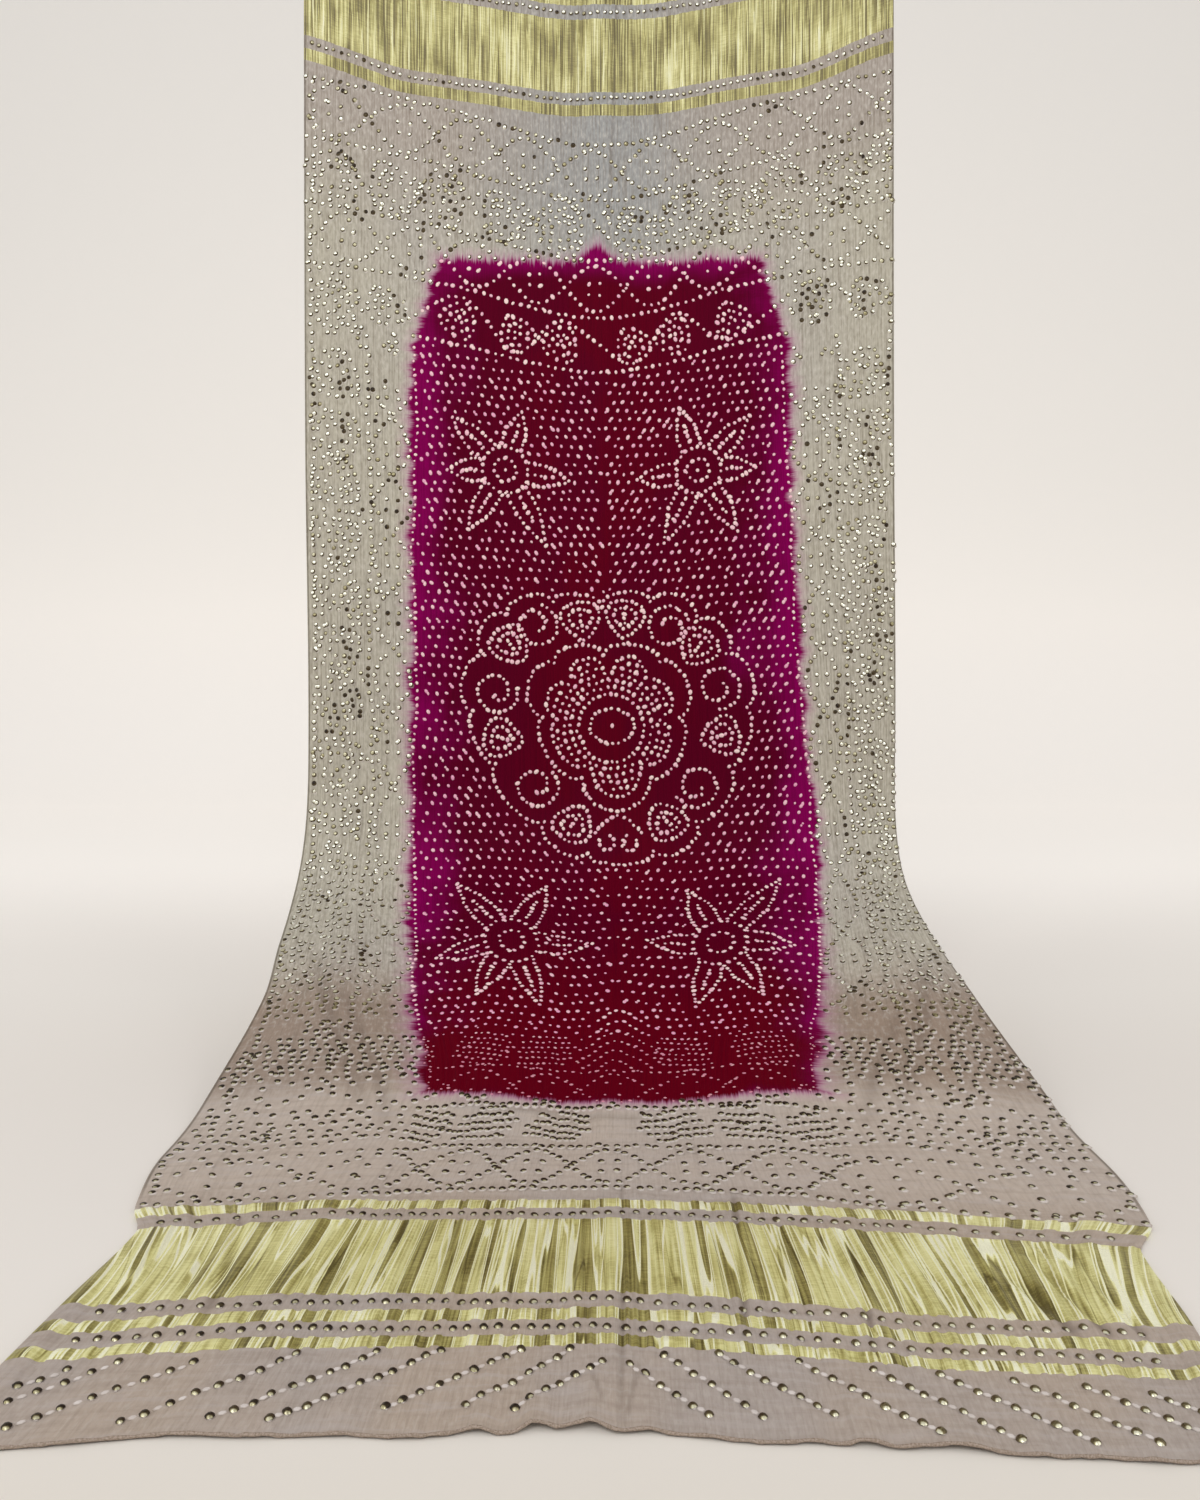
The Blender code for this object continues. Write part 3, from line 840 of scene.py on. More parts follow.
for row in MANGO_ROWS:
    middle_line = across_row(row.middle, row.sag, row.share)
    body = rowed_mango(row.size, MANGO_PITCH, row.gap) if row.gap else dotted_mango(row.size, MANGO_PITCH)
    for i, at in enumerate(row.places):
        hand = 1 if at > 0 else -1
        ties.append(placed(body, (at, float(middle_line(at))), row.tilt * (-1) ** i, hand, row.stretch))
    # Where it hangs, a stem of ties runs over one mango and under the next
    if not row.gap:
        ties.append(strung([
            (at, float(middle_line(at)) + row.stretch * 0.60 * row.size * (1 if i % 2 else -1))
            for i, at in enumerate(row.places)
        ]))

# Columns down both borders: a dotted line, mangoes, a dotted line, diamonds, and a close line at the panel
BORDERS = table(
    "outer mangoes inner diamonds edge",
    (-0.43, -0.392, -0.35, -0.319, -0.2875), (0.436, 0.399, 0.361, 0.322, 0.286),
)
MANGO_COLUMN = (0.728, 0.804, 0.880, 0.956, 1.034, 1.112, 1.190, 1.272, 1.355, 1.445, 1.540, 1.635, 1.725)
CELL_COLUMN = (0.735, 0.815, 0.897, 0.978, 1.062, 1.150, 1.250, 1.370, 1.500, 1.627, 1.745)
for border in BORDERS:
    hand = 1 if border.edge > 0 else -1
    for line, begins, ends in ((border.outer, 0.32, 2.09), (border.inner, 0.66, 1.80), (border.edge, 0.66, 1.90)):
        along = np.linspace(begins, ends, 22)
        sway = 0.0030 * np.sin(along * 17 + line * 40) + 0.0020 * np.sin(along * 61 + line * 9)
        ties.append(strung(pairs(line + sway, along), LYING_PITCH if line != border.edge else CLOSE_PITCH))
    for i, along in enumerate(MANGO_COLUMN):
        stretch = 1.0 if along < 1.40 else 1.25
        body = dotted_mango(0.066, MANGO_PITCH)
        ties.append(placed(body, (border.mangoes, along), 90 + 35 * (-1) ** i, hand, stretch))
    for upside in (-1, 1):
        swing = [(border.diamonds + upside * 0.026 * (-1) ** i, along) for i, along in enumerate(CELL_COLUMN)]
        ties.append(strung(swing))
    for along in CELL_COLUMN:
        ties.append(four_knots((border.diamonds, along), 0.0078))

# Chevrons stacked at the middle, where the rows of the field close above the low mangoes
for peak, reach in ((1.742, 0.030), (1.764, 0.042), (1.784, 0.055), (1.802, 0.060), (1.820, 0.050), (1.838, 0.030)):
    foot = peak + 0.55 * reach
    ties.append(strung(((0.008 - reach, foot), (0.008, peak), (0.008 + reach, foot)), CLOSE_PITCH))

# Stars in the four corners of the field: petals on a ring, each with a line of ties inside
STARS = table(
    "across along ring_across ring_along tips",
    (-0.148, 0.8295, 0.0345, 0.035, (
        (-0.2295, 0.757), (-0.122, 0.74), (-0.0515, 0.838), (-0.088, 0.937), (-0.2046, 0.921), (-0.236, 0.836))),
    (0.148, 0.8295, 0.0345, 0.035, (
        (0.2295, 0.757), (0.122, 0.736), (0.053, 0.838), (0.092, 0.934), (0.2046, 0.924), (0.236, 0.834))),
    (-0.148, 1.593, 0.0385, 0.05, (
        (-0.2238, 1.4604), (-0.0959, 1.4616), (-0.0329, 1.5909),
        (-0.1075, 1.7298), (-0.1986, 1.7169), (-0.2571, 1.6277))),
    (0.1475, 1.593, 0.0385, 0.05, (
        (0.2332, 1.4546), (0.1044, 1.4657), (0.0451, 1.5839),
        (0.1145, 1.7304), (0.2088, 1.7201), (0.253, 1.6017))),
)
star_ties = []
for star in STARS:
    middle = np.array((star.across, star.along))
    ring = np.array((star.ring_across, star.ring_along))
    star_ties.append(oval(middle, ring[0] * 0.48, ring[1] * 0.48, 11))
    star_ties.append(oval(middle, ring[0], ring[1], 22))
    star_ties.append(middle[None] if star.along < 1 else oval(middle, ring[0] * 0.48, ring[1] * 0.48, 11))
    for tip in star.tips:
        out = np.array(tip) - middle
        turn = math.atan2(out[0] / ring[0], -out[1] / ring[1])
        for side in (-1, 1):
            foot = middle + 1.12 * ring * (math.sin(turn + side * 0.42), -math.cos(turn + side * 0.42))
            aside = side * 0.0066 * np.array((-out[1], out[0])) / np.linalg.norm(out)
            belly = foot * 0.52 + np.array(tip) * 0.48 + aside
            star_ties.append(strung((foot, belly, tip), PETAL_PITCH))
        root = middle + 1.30 * ring * (math.sin(turn), -math.cos(turn))
        star_ties.append(strung((root, root + 0.50 * (np.array(tip) - root)), PETAL_PITCH))

# The medallion: a centre knot, two rings, seven filled petals, a lobed ring, then fifteen motifs
# that take turns, and a scalloped line round them all
PETAL_FEET = (
    (-0.0595, -0.0757, -0.0089, -0.0803, 0.0235), (0.0015, -0.0818, 0.0519, -0.0727, 0.027),
    (0.0551, -0.0681, 0.0802, -0.0161, 0.0218), (0.0713, -0.0085, 0.0536, 0.0587, 0.0218),
    (0.0401, 0.0556, -0.0312, 0.0648, 0.047), (-0.0416, 0.0602, -0.0818, -0.0085, 0.0215),
    (-0.0802, -0.0116, -0.0639, -0.0619, 0.024),
)
LOBES = table(
    "across along rise",
    (-0.0104, -0.1064, 0.0212), (0.0743, -0.097, 0.0285), (0.0996, -0.0116, 0.026), (0.0551, 0.0771, 0.0505),
    (-0.046, 0.0786, 0.0255), (-0.1011, -0.0116, 0.0312), (-0.0833, -0.0939, 0.0218),
)
SCALLOPS = table(
    "across along rise",
    (-0.0104, -0.1795, 0.0195), (0.0639, -0.1862, 0.0262), (0.1314, -0.1535, 0.025), (0.1739, -0.1032, 0.0246),
    (0.1992, -0.0222, 0.0165), (0.17, 0.0648, 0.021), (0.1188, 0.1458, 0.023), (0.0565, 0.19, 0.0225),
    (-0.0386, 0.1936, 0.0228), (-0.1011, 0.1458, 0.024), (-0.172, 0.06, 0.015), (-0.2045, -0.0182, 0.025),
    (-0.1859, -0.0996, 0.0232), (-0.1517, -0.1636, 0.018), (-0.0833, -0.1862, 0.0155),
)
MOTIFS = table(
    "kind across along tilt hand",
    ("mango", 0.0235, -0.158, 8, 1), ("curl", 0.089, -0.147, -50, -1), ("mango", 0.1305, -0.112, 40, 1),
    ("curl", 0.16, -0.054, 60, -1), ("mango", 0.157, 0.019, 78, 1), ("curl", 0.1215, 0.092, 120, -1),
    ("mango", 0.074, 0.141, 150, 1), ("twins", 0.006, 0.172, 0, 1), ("mango", -0.0565, 0.144, -150, -1),
    ("curl", -0.1125, 0.092, 170, 1), ("mango", -0.157, 0.022, -80, -1), ("curl", -0.169, -0.048, 200, 1),
    ("mango", -0.145, -0.115, -40, -1), ("curl", -0.1095, -0.15, 140, 1), ("mango", -0.0415, -0.155, -10, -1),
)
heart = np.array(MEDALLION)
medallion_ties = [heart[None], oval(heart, 0.0326, 0.0260, 22), oval(heart + (-0.001, 0.003), 0.0487, 0.0515, 34)]
for begin_across, begin_along, end_across, end_along, rise in PETAL_FEET:
    begin, end = heart + (begin_across, begin_along), heart + (end_across, end_along)
    medallion_ties.append(bow(begin, end, rise, heart, BOW_PITCH))
petals = np.concatenate(medallion_ties[3:])
petal_reach = np.hypot(*(petals - heart).T)
petal_bearing = np.arctan2(*(petals - heart).T)
order = np.argsort(petal_bearing)
for ring in range(1, 9):
    reach = 0.0500 + ring * 0.0098
    around = oval(heart + (-0.001, 0.003), reach, reach * 1.03, int(math.tau * reach / 0.0106), 0.3 * ring)
    limit = np.interp(np.arctan2(*(around - heart).T), petal_bearing[order], petal_reach[order], period=math.tau)
    around = around[np.hypot(*(around - heart).T) < limit - 0.0064]
    if len(around):
        medallion_ties.append(around[clear_of(around, petals, 0.0068)])
for row in (LOBES, SCALLOPS):
    for here, there in zip(row, row[1:] + row[:1]):
        begin, end = heart + (here.across, here.along), heart + (there.across, there.along)
        medallion_ties.append(bow(begin, end, here.rise, heart, 0.0090)[:-1])
for motif in MOTIFS:
    middle = heart + (motif.across, motif.along)
    if motif.kind == "mango":
        medallion_ties.append(placed(filled_mango(0.054, 0.0082), middle, motif.tilt + 180, motif.hand))
    elif motif.kind == "curl":
        medallion_ties.append(placed(fern_curl(0.054, BOW_PITCH), middle, motif.tilt, motif.hand))
    else:
        for hand in (-1, 1):
            medallion_ties.append(oval(middle + (hand * 0.0165, 0.006), 0.0108, 0.0120, 8, 0.4 * hand)[1:])
        arch = [middle + (u, -0.030 * math.cos(u / 0.034 * 1.45) - 0.006) for u in np.linspace(-0.034, 0.034, 7)]
        medallion_ties.append(strung(arch, BOW_PITCH))

motif_ties = np.concatenate([np.array(group, float).reshape(-1, 2) for group in ties + star_ties + medallion_ties])

# The borders are worked closer still: the silk left bare between motifs is sprinkled with more ties
FILLINGS = table(
    "across to_across along to_along seed bare",
    (-0.424, -0.33, 0.69, 1.8, 51, 0.48), (0.338, 0.43, 0.69, 1.8, 52, 0.48),
    (-0.428, 0.428, 0.428, 0.5, 53, 0.62), (-0.428, -0.3, 0.56, 0.69, 54, 0.55),
    (0.3, 0.43, 0.56, 0.69, 55, 0.55), (-0.43, -0.3, 1.8, 1.93, 56, 0.5), (0.3, 0.43, 1.8, 1.93, 57, 0.5),
)
for filling in FILLINGS:
    chance = np.random.default_rng(filling.seed)
    rows = np.arange(filling.along, filling.to_along, 0.0088)
    columns = np.arange(filling.across, filling.to_across, 0.0100)
    sprinkled = np.array([(across + 0.005 * (i % 2), along) for i, along in enumerate(rows) for across in columns])
    sprinkled += chance.normal(0, 0.0011, sprinkled.shape)
    sprinkled = sprinkled[wandering(sprinkled[:, 0], sprinkled[:, 1], 0.022, 0.030, filling.seed) > filling.bare]
    motif_ties = np.concatenate((motif_ties, sprinkled[clear_of(sprinkled, motif_ties, 0.0088)]))
_, first = np.unique(np.round(motif_ties / 0.0056).astype(int), axis=0, return_index=True)
motif_ties = motif_ties[np.sort(first)]
chance = np.random.default_rng(10)
motif_ties += chance.normal(0, 0.0007, motif_ties.shape)
doubled = motif_ties[(chance.random(len(motif_ties)) < 0.05) & (np.hypot(*(motif_ties - heart).T) > 0.02)]
motif_ties = np.concatenate((motif_ties, doubled + chance.choice((-1, 1), doubled.shape) * 0.0022))

# The field is filled with rows of small ties that slant down and away from the middle
FIELD_BEGINS, FIELD_ENDS, FIELD_HALF_WIDTH = 0.655, 1.800, 0.284
FIELD_PITCH, ROW_SHIFT, CLEAR = 0.0150, 0.0058, 0.0090
ROW_PITCHES = table(
    "along pitch",
    (0.6, 0.0132), (1.38, 0.014), (1.47, 0.0185), (1.6, 0.0205), (1.7, 0.019), (1.74, 0.015), (1.82, 0.0125),
)
chance = np.random.default_rng(11)
field, along, shift = [], FIELD_BEGINS, 0.0
while along < FIELD_ENDS:
    for half in (-1, 1):
        across = np.arange(0.004 + shift, FIELD_HALF_WIDTH, FIELD_PITCH)
        spot = pairs(half * across, np.full_like(across, along))
        field.append(spot + chance.normal(0, 0.0013, spot.shape))
    along += float(read(ROW_PITCHES, "pitch", along))
    shift = (shift + ROW_SHIFT) % FIELD_PITCH
field = np.concatenate(field)
twins = field[chance.random(len(field)) < 0.13]
field = np.concatenate((field, twins - np.sign(twins[:, :1]) * (0.0026, 0.0) + (0.0, 0.0032)))
top_of_field = across_row(0.6775, TOP_SAG)(field[:, 0])
field = field[(field[:, 1] > top_of_field + 0.008)]
field = field[clear_of(field, motif_ties, CLEAR)]
scallop = np.concatenate([np.array(group).reshape(-1, 2) for group in medallion_ties])
spread = np.hypot(*(scallop - heart).T)
bearing = np.arctan2(scallop[:, 0] - heart[0], scallop[:, 1] - heart[1])
off = field - heart
turned_to = np.arctan2(off[:, 0], off[:, 1])
near = np.abs((turned_to[:, None] - bearing[None] + math.pi) % math.tau - math.pi) < 0.10
field = field[np.hypot(*off.T) > np.where(near, spread[None], 0).max(axis=1)]
for star in STARS:
    off = (field - (star.across, star.along)) / (star.ring_across, star.ring_along)
    field = field[np.hypot(*off.T) > 1.05]

# ---- Resist dots in the panel --------------------------------------------------------------------
# Each tie kept the dye out of a little ring of silk. Opened, it is a pale puckered peak with a soft
# edge. The ties of the motifs were bound thicker, so theirs are larger and creamier.
MOTIF_TIE, FIELD_TIE = 0.0028, 0.0024
DOT_HEIGHT, BEHIND_HEIGHT = 0.0011, 0.0002
# A tie is one of the panel's up to a small margin outside its dye, whose top bows a little more here
TIED_TOP, TIED_BOW, TIED_MARGIN = 0.5105, 0.30, 0.002


def unit(runs):
    return runs / np.linalg.norm(runs, axis=-1, keepdims=True)


def on_cloth(flat):
    """Point, facing, and the directions across and along, at flat places on the front of the cloth."""
    row = np.interp(flat[:, 1], cloth_along, np.arange(len(cloth_along)))
    i = np.clip(row.astype(int), 0, len(cloth_along) - 2)
    t = (row - i)[:, None]
    grid, edge = cloth_points[:, FRONT], cloth_across[:, FRONT][:, -1]
    columns = grid.shape[1]
    half = edge[i] * (1 - t[:, 0]) + edge[i + 1] * t[:, 0]
    place = np.clip((flat[:, 0] + half) / (2 * half) * (columns - 1), 0, columns - 1.001)
    j = place.astype(int)
    s = (place - j)[:, None]
    a, b, c, d = grid[i, j], grid[i, j + 1], grid[i + 1, j], grid[i + 1, j + 1]
    point = (a * (1 - s) + b * s) * (1 - t) + (c * (1 - s) + d * s) * t
    # The direction across is taken over a few points, so that a dome tips with the crinkle and not with a thread
    right = unit(grid[i, np.clip(j + 3, 0, columns - 1)] - grid[i, np.clip(j - 2, 0, columns - 1)])
    facing = unit(np.cross(unit(c + d - a - b), right))
    return point, facing, right, np.cross(right, facing)


def in_panel(places):
    return np.min(panel_edges(places[:, 0], places[:, 1], TIED_TOP, TIED_BOW), axis=0) > -TIED_MARGIN


# Rings of one dome, from its peak to its foot: share of the radius, share of the height, paleness
Ring = namedtuple("Ring", "radius height pale")


def domes(
    name, flat, half_across, half_along, turn, height, rings, sides, material, tilt=None, lift=0.0002, side=1, **held
):
    """Many small domes on one side of the cloth, joined in one mesh. Sizes and what it holds are one per dome."""
    point, facing, right, down = on_cloth(flat)
    facing, right = facing * side, right * side
    if tilt is not None:
        facing = unit(facing + right * tilt[:, :1] + down * tilt[:, 1:])
        right = unit(right - facing * np.sum(right * facing, axis=1, keepdims=True))
        down = np.cross(right, facing)
    angle = np.arange(sides) * math.tau / sides
    shape = [(0.0, 0.0, rings[0].height, rings[0].pale)]
    for ring in rings[1:]:
        shape += [(ring.radius * math.cos(a), ring.radius * math.sin(a), ring.height, ring.pale) for a in angle]
    shape = np.array(shape)
    u = shape[None, :, 0] * half_across[:, None]
    v = shape[None, :, 1] * half_along[:, None]
    cos, sin = np.cos(turn)[:, None], np.sin(turn)[:, None]
    u, v = u * cos - v * sin, u * sin + v * cos
    w = shape[None, :, 2] * height[:, None] + lift
    points = point[:, None] + u[..., None] * right[:, None] + v[..., None] * down[:, None]
    points = points + w[..., None] * facing[:, None]
    faces = [(0, 1 + k, 1 + (k + 1) % sides) for k in range(sides)]
    for ring in range(len(rings) - 2):
        inner, outer = 1 + ring * sides, 1 + (ring + 1) * sides
        for k in range(sides):
            after = (k + 1) % sides
            faces.append((inner + k, outer + k, outer + after))
            faces.append((inner + k, outer + after, inner + after))
    faces = np.array(faces)[:, ::-1]
    faces = (faces[None] + (np.arange(len(flat)) * len(shape))[:, None, None]).reshape(-1, 3)
    piece = make_mesh(name, points.reshape(-1, 3), faces, material)
    places = np.stack((flat[:, :1] + u * side, flat[:, 1:] + v, np.zeros_like(u)), axis=-1)
    put_attribute(piece.data, "flat_place", places.reshape(-1, 3))
    put_attribute(piece.data, "pale", np.tile(shape[:, 3], len(flat)))
    for word, values in held.items():
        put_attribute(piece.data, word, np.repeat(values, len(shape)))
    return piece, shape[:, :2]


resist, shader, flat = new_finish("resist_dots", roughness=0.6, specular=0.2)
colour, _ = silk_colours(flat)
knot = flat.held("creamy") + (flat.along_flat(300.0, 300.0) - 0.5) * 0.6
knot = knot.mix(dyed(238, 168, 198), dyed(255, 228, 222))
knot = layered(knot, (flat.part(1).rise(1.76, 1.84) * 0.60, (196, 108, 122)))
colour = flat.held("pale").rise(0.12, 0.62).mix(colour, knot)
apply_to(shader, flat, Base_Color=colour, Normal=weave(flat).bump(0.0004, 0.7))

inner_motifs = motif_ties[in_panel(motif_ties)]
panel_ties = np.concatenate((inner_motifs, field))
count, bound = len(panel_ties), len(inner_motifs)
chance = np.random.default_rng(21)
of_motif = np.arange(count) < bound
size = np.where(of_motif, MOTIF_TIE, FIELD_TIE) * chance.uniform(0.72, 1.28, count)
# They are smaller along the panel's sides and in its last rows
size = size * np.where(np.abs(panel_ties[:, 0]) > 0.279, 0.80, 1.0) * np.where(panel_ties[:, 1] > 1.785, 0.72, 1.0)
longer = np.where(of_motif, 1.18, 1.32) * chance.uniform(0.85, 1.2, count)
flattened = 1 - 0.38 * np.clip((panel_ties[:, 1] - 1.70) / 0.10, 0, 1)
of_row = np.sign(panel_ties[:, 0]) * 0.60
slant = np.where(of_motif, chance.normal(0, 0.9, count), of_row + chance.normal(0, 0.22, count))
slant = slant * np.clip(flattened * 2 - 1, 0, 1)
creamy = np.where(of_motif, chance.uniform(0.25, 1.0, count), chance.uniform(-0.1, 0.6, count)) - (1 - flattened)
dome = (Ring(0, 1.0, 1.0), Ring(0.45, 0.80, 0.95), Ring(0.78, 0.30, 0.55), Ring(1.15, -0.25, 0.0))
resist_dots, _ = domes(
    "resist_dots", panel_ties, size, size * longer * flattened, slant, DOT_HEIGHT * flattened, dome, 7, resist,
    lift=0.0001, creamy=creamy,
)
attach(resist_dots, "root")

# The bare silk of each tie shows at the back too, as a paler, flatter spot
spot = (Ring(0, 1.0, 0.60), Ring(1.0, 0.0, 0.0))
dots_behind, _ = domes(
    "dots_behind", panel_ties, size * 1.1, size * longer * 1.1, -slant, np.full(count, BEHIND_HEIGHT), spot, 6,
    resist, lift=0.0003, side=-1, creamy=creamy,
)
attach(dots_behind, "root")

# ---- Gold discs ----------------------------------------------------------------------------------
# Thin brass discs, pressed into shallow domes and fixed one to each pale tie of the silk ground. They
# tip with the crinkle under them; which flash and which look dark is painted into their colour as
# painted reflection and painted shade. Rows of slightly smaller ones run beside the gold stripes and in
# slanting lines on the end panels.
GROUND_DISC, STRIPE_DISC, END_DISC = 0.00365, 0.00320, 0.00325
BETWEEN_TIE = 0.0026
brass, shader, flat = new_finish("brass_discs", metallic=0.55, roughness=0.3)
on_disc = flat.held("on_disc", vector=True)
u, v, lies = (on_disc.part(axis) for axis in range(3))
tone = flat.held("tone")
# Painted reflection: hanging, a disc shows a painted highlight in its middle over a painted dark crescent. Lying, it
# is painted dark but for a painted highlight on its near lip
core = 1 - (u * u + (v + 0.20) * (v + 0.20)).rise(0.26, 0.64)
hung = core * tone + (1 - core) * (0.24 - tone * 0.05)
lip = v.rise(0.34, 0.66) * (1 - ((u - 0.12) * (u - 0.12)).rise(0.12, 0.62))
laid = 0.03 + tone * 0.28 + lip * (0.54 - tone * 0.10)
grime = flat.along_flat(700.0, 700.0, 2.0)
lit = hung * (1 - lies) + laid * lies + (grime - 0.5) * 0.30
# The disc colour runs from painted shade to painted highlight
disc_colour = lit.ramp(
    (0.0, (36, 25, 16)), (0.26, (88, 74, 48)), (0.50, (156, 146, 106)),
    (0.72, (228, 224, 194)), (1.0, (252, 251, 240)),
)
apply_to(shader, flat, Base_Color=disc_colour, Roughness=0.42 - lit.most(0.0).least(1.0) * 0.18)

spots, shader, flat = new_finish("pale_ties", roughness=0.65)
colour, _ = silk_colours(flat)
colour = layered(colour, (flat.held("pale").rise(0.1, 0.9) * flat.held("creamy"), (226, 217, 212)))
apply_to(shader, flat, Base_Color=colour, Normal=weave(flat).bump(0.0004, 0.7))

# Rows beside the gold stripes: place along, and pitch, which is wider at the near end
stripe_discs = []
for along, pitch in (
    (0.0995, 0.0104), (0.1358, 0.0104), (0.2661, 0.0104), (2.1447, 0.0140), (2.2812, 0.0140), (2.3148, 0.0140),
):
    across = np.arange(-0.430, 0.433, pitch)
    stripe_discs.append(pairs(across, along + 0.0012 * np.sin(across * 31 + along * 60)))
stripe_discs = np.concatenate(stripe_discs)

# Slanting lines on the end panel: where each begins under the last stripe and ends by the hem
END_LINES = table(
    "across along to_across to_along",
    (-0.418, 2.35, -0.44, 2.364), (-0.387, 2.346, -0.438, 2.38), (-0.336, 2.35, -0.424, 2.406),
    (-0.264, 2.344, -0.357, 2.41), (-0.194, 2.342, -0.303, 2.409), (-0.14, 2.341, -0.26, 2.411),
    (-0.071, 2.34, -0.173, 2.4), (-0.029, 2.342, -0.109, 2.4), (0.0, 2.357, -0.07, 2.403),
    (0.02, 2.358, 0.079, 2.406), (0.048, 2.345, 0.118, 2.403), (0.091, 2.341, 0.171, 2.398),
    (0.153, 2.342, 0.243, 2.412), (0.208, 2.345, 0.297, 2.412), (0.258, 2.343, 0.352, 2.412),
    (0.312, 2.347, 0.398, 2.408), (0.362, 2.352, 0.436, 2.398), (0.408, 2.356, 0.44, 2.374),
)


def far_end(places):
    """The same marks on the far end of the cloth, which is woven and tied as this end's mirror."""
    return pairs(places[:, 0], CLOTH_LENGTH - places[:, 1])


near_lines = [
    strung((
        (line.across, line.along),
        ((line.across + line.to_across) / 2, (line.along + line.to_along) / 2 + 0.001),
        (line.to_across, line.to_along),
    ), END_PITCH)
    for line in END_LINES
]
near_discs = np.concatenate(near_lines)
between = np.concatenate([(line[1:] + line[:-1]) / 2 for line in near_lines])
ground_ties = motif_ties[~in_panel(motif_ties)]
ground_ties = ground_ties[clear_of(ground_ties, inner_motifs, 0.004)]
across, along = np.abs(ground_ties[:, 0]), ground_ties[:, 1]
ground_ties = ground_ties[(across < 0.4385) & (along > 0.296) & (along < 2.1165)]
end_discs = np.concatenate((near_discs, far_end(near_discs)))
all_discs = np.concatenate((ground_ties, stripe_discs, end_discs))
chance = np.random.default_rng(31)
all_discs = all_discs + chance.normal(0, 0.0007, all_discs.shape)
count = len(all_discs)
kind = np.repeat((0, 1, 2), (len(ground_ties), len(stripe_discs), len(end_discs)))
lying = np.clip((all_discs[:, 1] - 1.70) / 0.10, 0, 1)
radius = np.choose(kind, (GROUND_DISC - 0.00015 * lying, STRIPE_DISC + 0.00010 * lying, END_DISC))
radius = radius * chance.uniform(0.90, 1.10, count)
swell = np.interp(all_discs[:, 1], (1.70, 1.85, 2.12, 2.30), (0.38, 0.26, 0.36, 0.58))
lean_with = wandering(*all_discs.T, 0.012, 0.20, 41) - 0.5
tilt = pairs(lean_with * 0.9 + chance.normal(0, 0.12, count), chance.normal(0, 0.12, count))
tilt *= 1 - 0.6 * lying[:, None]
# Painted reflection: each disc is painted bright, middling or dark, in patches along the cloth and at random, golden
# towards the right where it lies, and the painted dark side of each turns a little at random
bright = wandering(*all_discs.T, 0.014, 0.09, 42) * 0.7 + chance.uniform(0, 0.7, count)
bright = np.where(bright > 0.58, 0.96, np.where(bright > 0.36, 0.62, 0.08)) + chance.uniform(-0.10, 0.08, count)
golden = 0.85 * np.clip((all_discs[:, 0] + 0.05) / 0.35, 0, 1) * np.clip((all_discs[:, 1] - 2.05) / 0.10, 0, 1)
bright = bright * (1 - lying) + (golden + 0.6 * chance.random(count) ** 2) * lying
turned = (chance.normal(0.4, 0.9, count) * (1 - lying) + chance.normal(0, 0.25, count) * lying)[:, None]
disc = (Ring(0, 1.0, 1.0), Ring(0.62, 0.70, 1.0), Ring(1.0, 0.0, 0.0))
gold_discs, on_disc = domes(
    "gold_discs", all_discs, radius, radius, np.zeros(count), radius * swell, disc, 8, brass, tilt, lift=0.0006,
    tone=np.clip(bright, 0, 1),
)
u, v = on_disc.T
lies = np.broadcast_to(lying[:, None], (count, len(u)))
seen = (np.cos(turned) * u - np.sin(turned) * v, np.sin(turned) * u + np.cos(turned) * v, lies)
put_attribute(gold_discs.data, "on_disc", np.stack(seen, axis=-1).reshape(-1, 3))
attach(gold_discs, "root")

# The pale tie peeks out round each disc, and on the end panels one more stands between each two
under_disc = all_discs + pairs(np.full(count, 0.0008), 0.0012 + 0.0010 * lying)
under_size = radius * np.where(kind == 0, 1.22 + 0.10 * lying, 0.5)
marks = np.concatenate((under_disc, between, far_end(between)))
pairs_between = np.ones(2 * len(between))
half = np.concatenate((under_size, BETWEEN_TIE * pairs_between))
line_turn = np.repeat(
    [math.atan2(*(line[-1] - line[0])[::-1]) for line in near_lines], [len(line) - 1 for line in near_lines]
)
turn = np.concatenate((chance.normal(0, 0.3, count), line_turn + math.pi / 2, -line_turn + math.pi / 2))
longer = np.concatenate((np.full(count, 1.1), 1.35 * pairs_between))
paleness = np.concatenate((0.35 + 0.35 * lying, 0.80 * pairs_between)) * chance.uniform(0.7, 1.2, len(marks))
flat_dome = (Ring(0, 1.0, 1.0), Ring(0.55, 0.75, 0.85), Ring(1.0, -0.15, 0.0))
pale_ties, _ = domes(
    "pale_ties", marks, half, half * longer, turn, np.full(len(marks), 0.0004), flat_dome, 6, spots, creamy=paleness,
)
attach(pale_ties, "root")
ties_behind, _ = domes(
    "ties_behind", all_discs, radius * 0.9, radius * 0.9, np.zeros(count), np.full(count, 0.0003), spot, 6, spots,
    lift=0.0003, side=-1, creamy=chance.uniform(0.8, 1.0, count),
)
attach(ties_behind, "root")

# ---- Hems ----------------------------------------------------------------------------------------
# Both ends are rolled to the back by hand and overcast in silk thread, so each is a thin round cord
# a little darker than the ground.
hem_silk, shader, flat = new_finish("rolled_hem_silk", roughness=0.6)
twist = flat.along_flat(700.0, 700.0, 2.0)
thread = twist.rise(0.3, 0.7).mix(dyed(140, 122, 106), dyed(172, 154, 140))
apply_to(shader, flat, Base_Color=thread, Normal=twist.bump(0.0005))


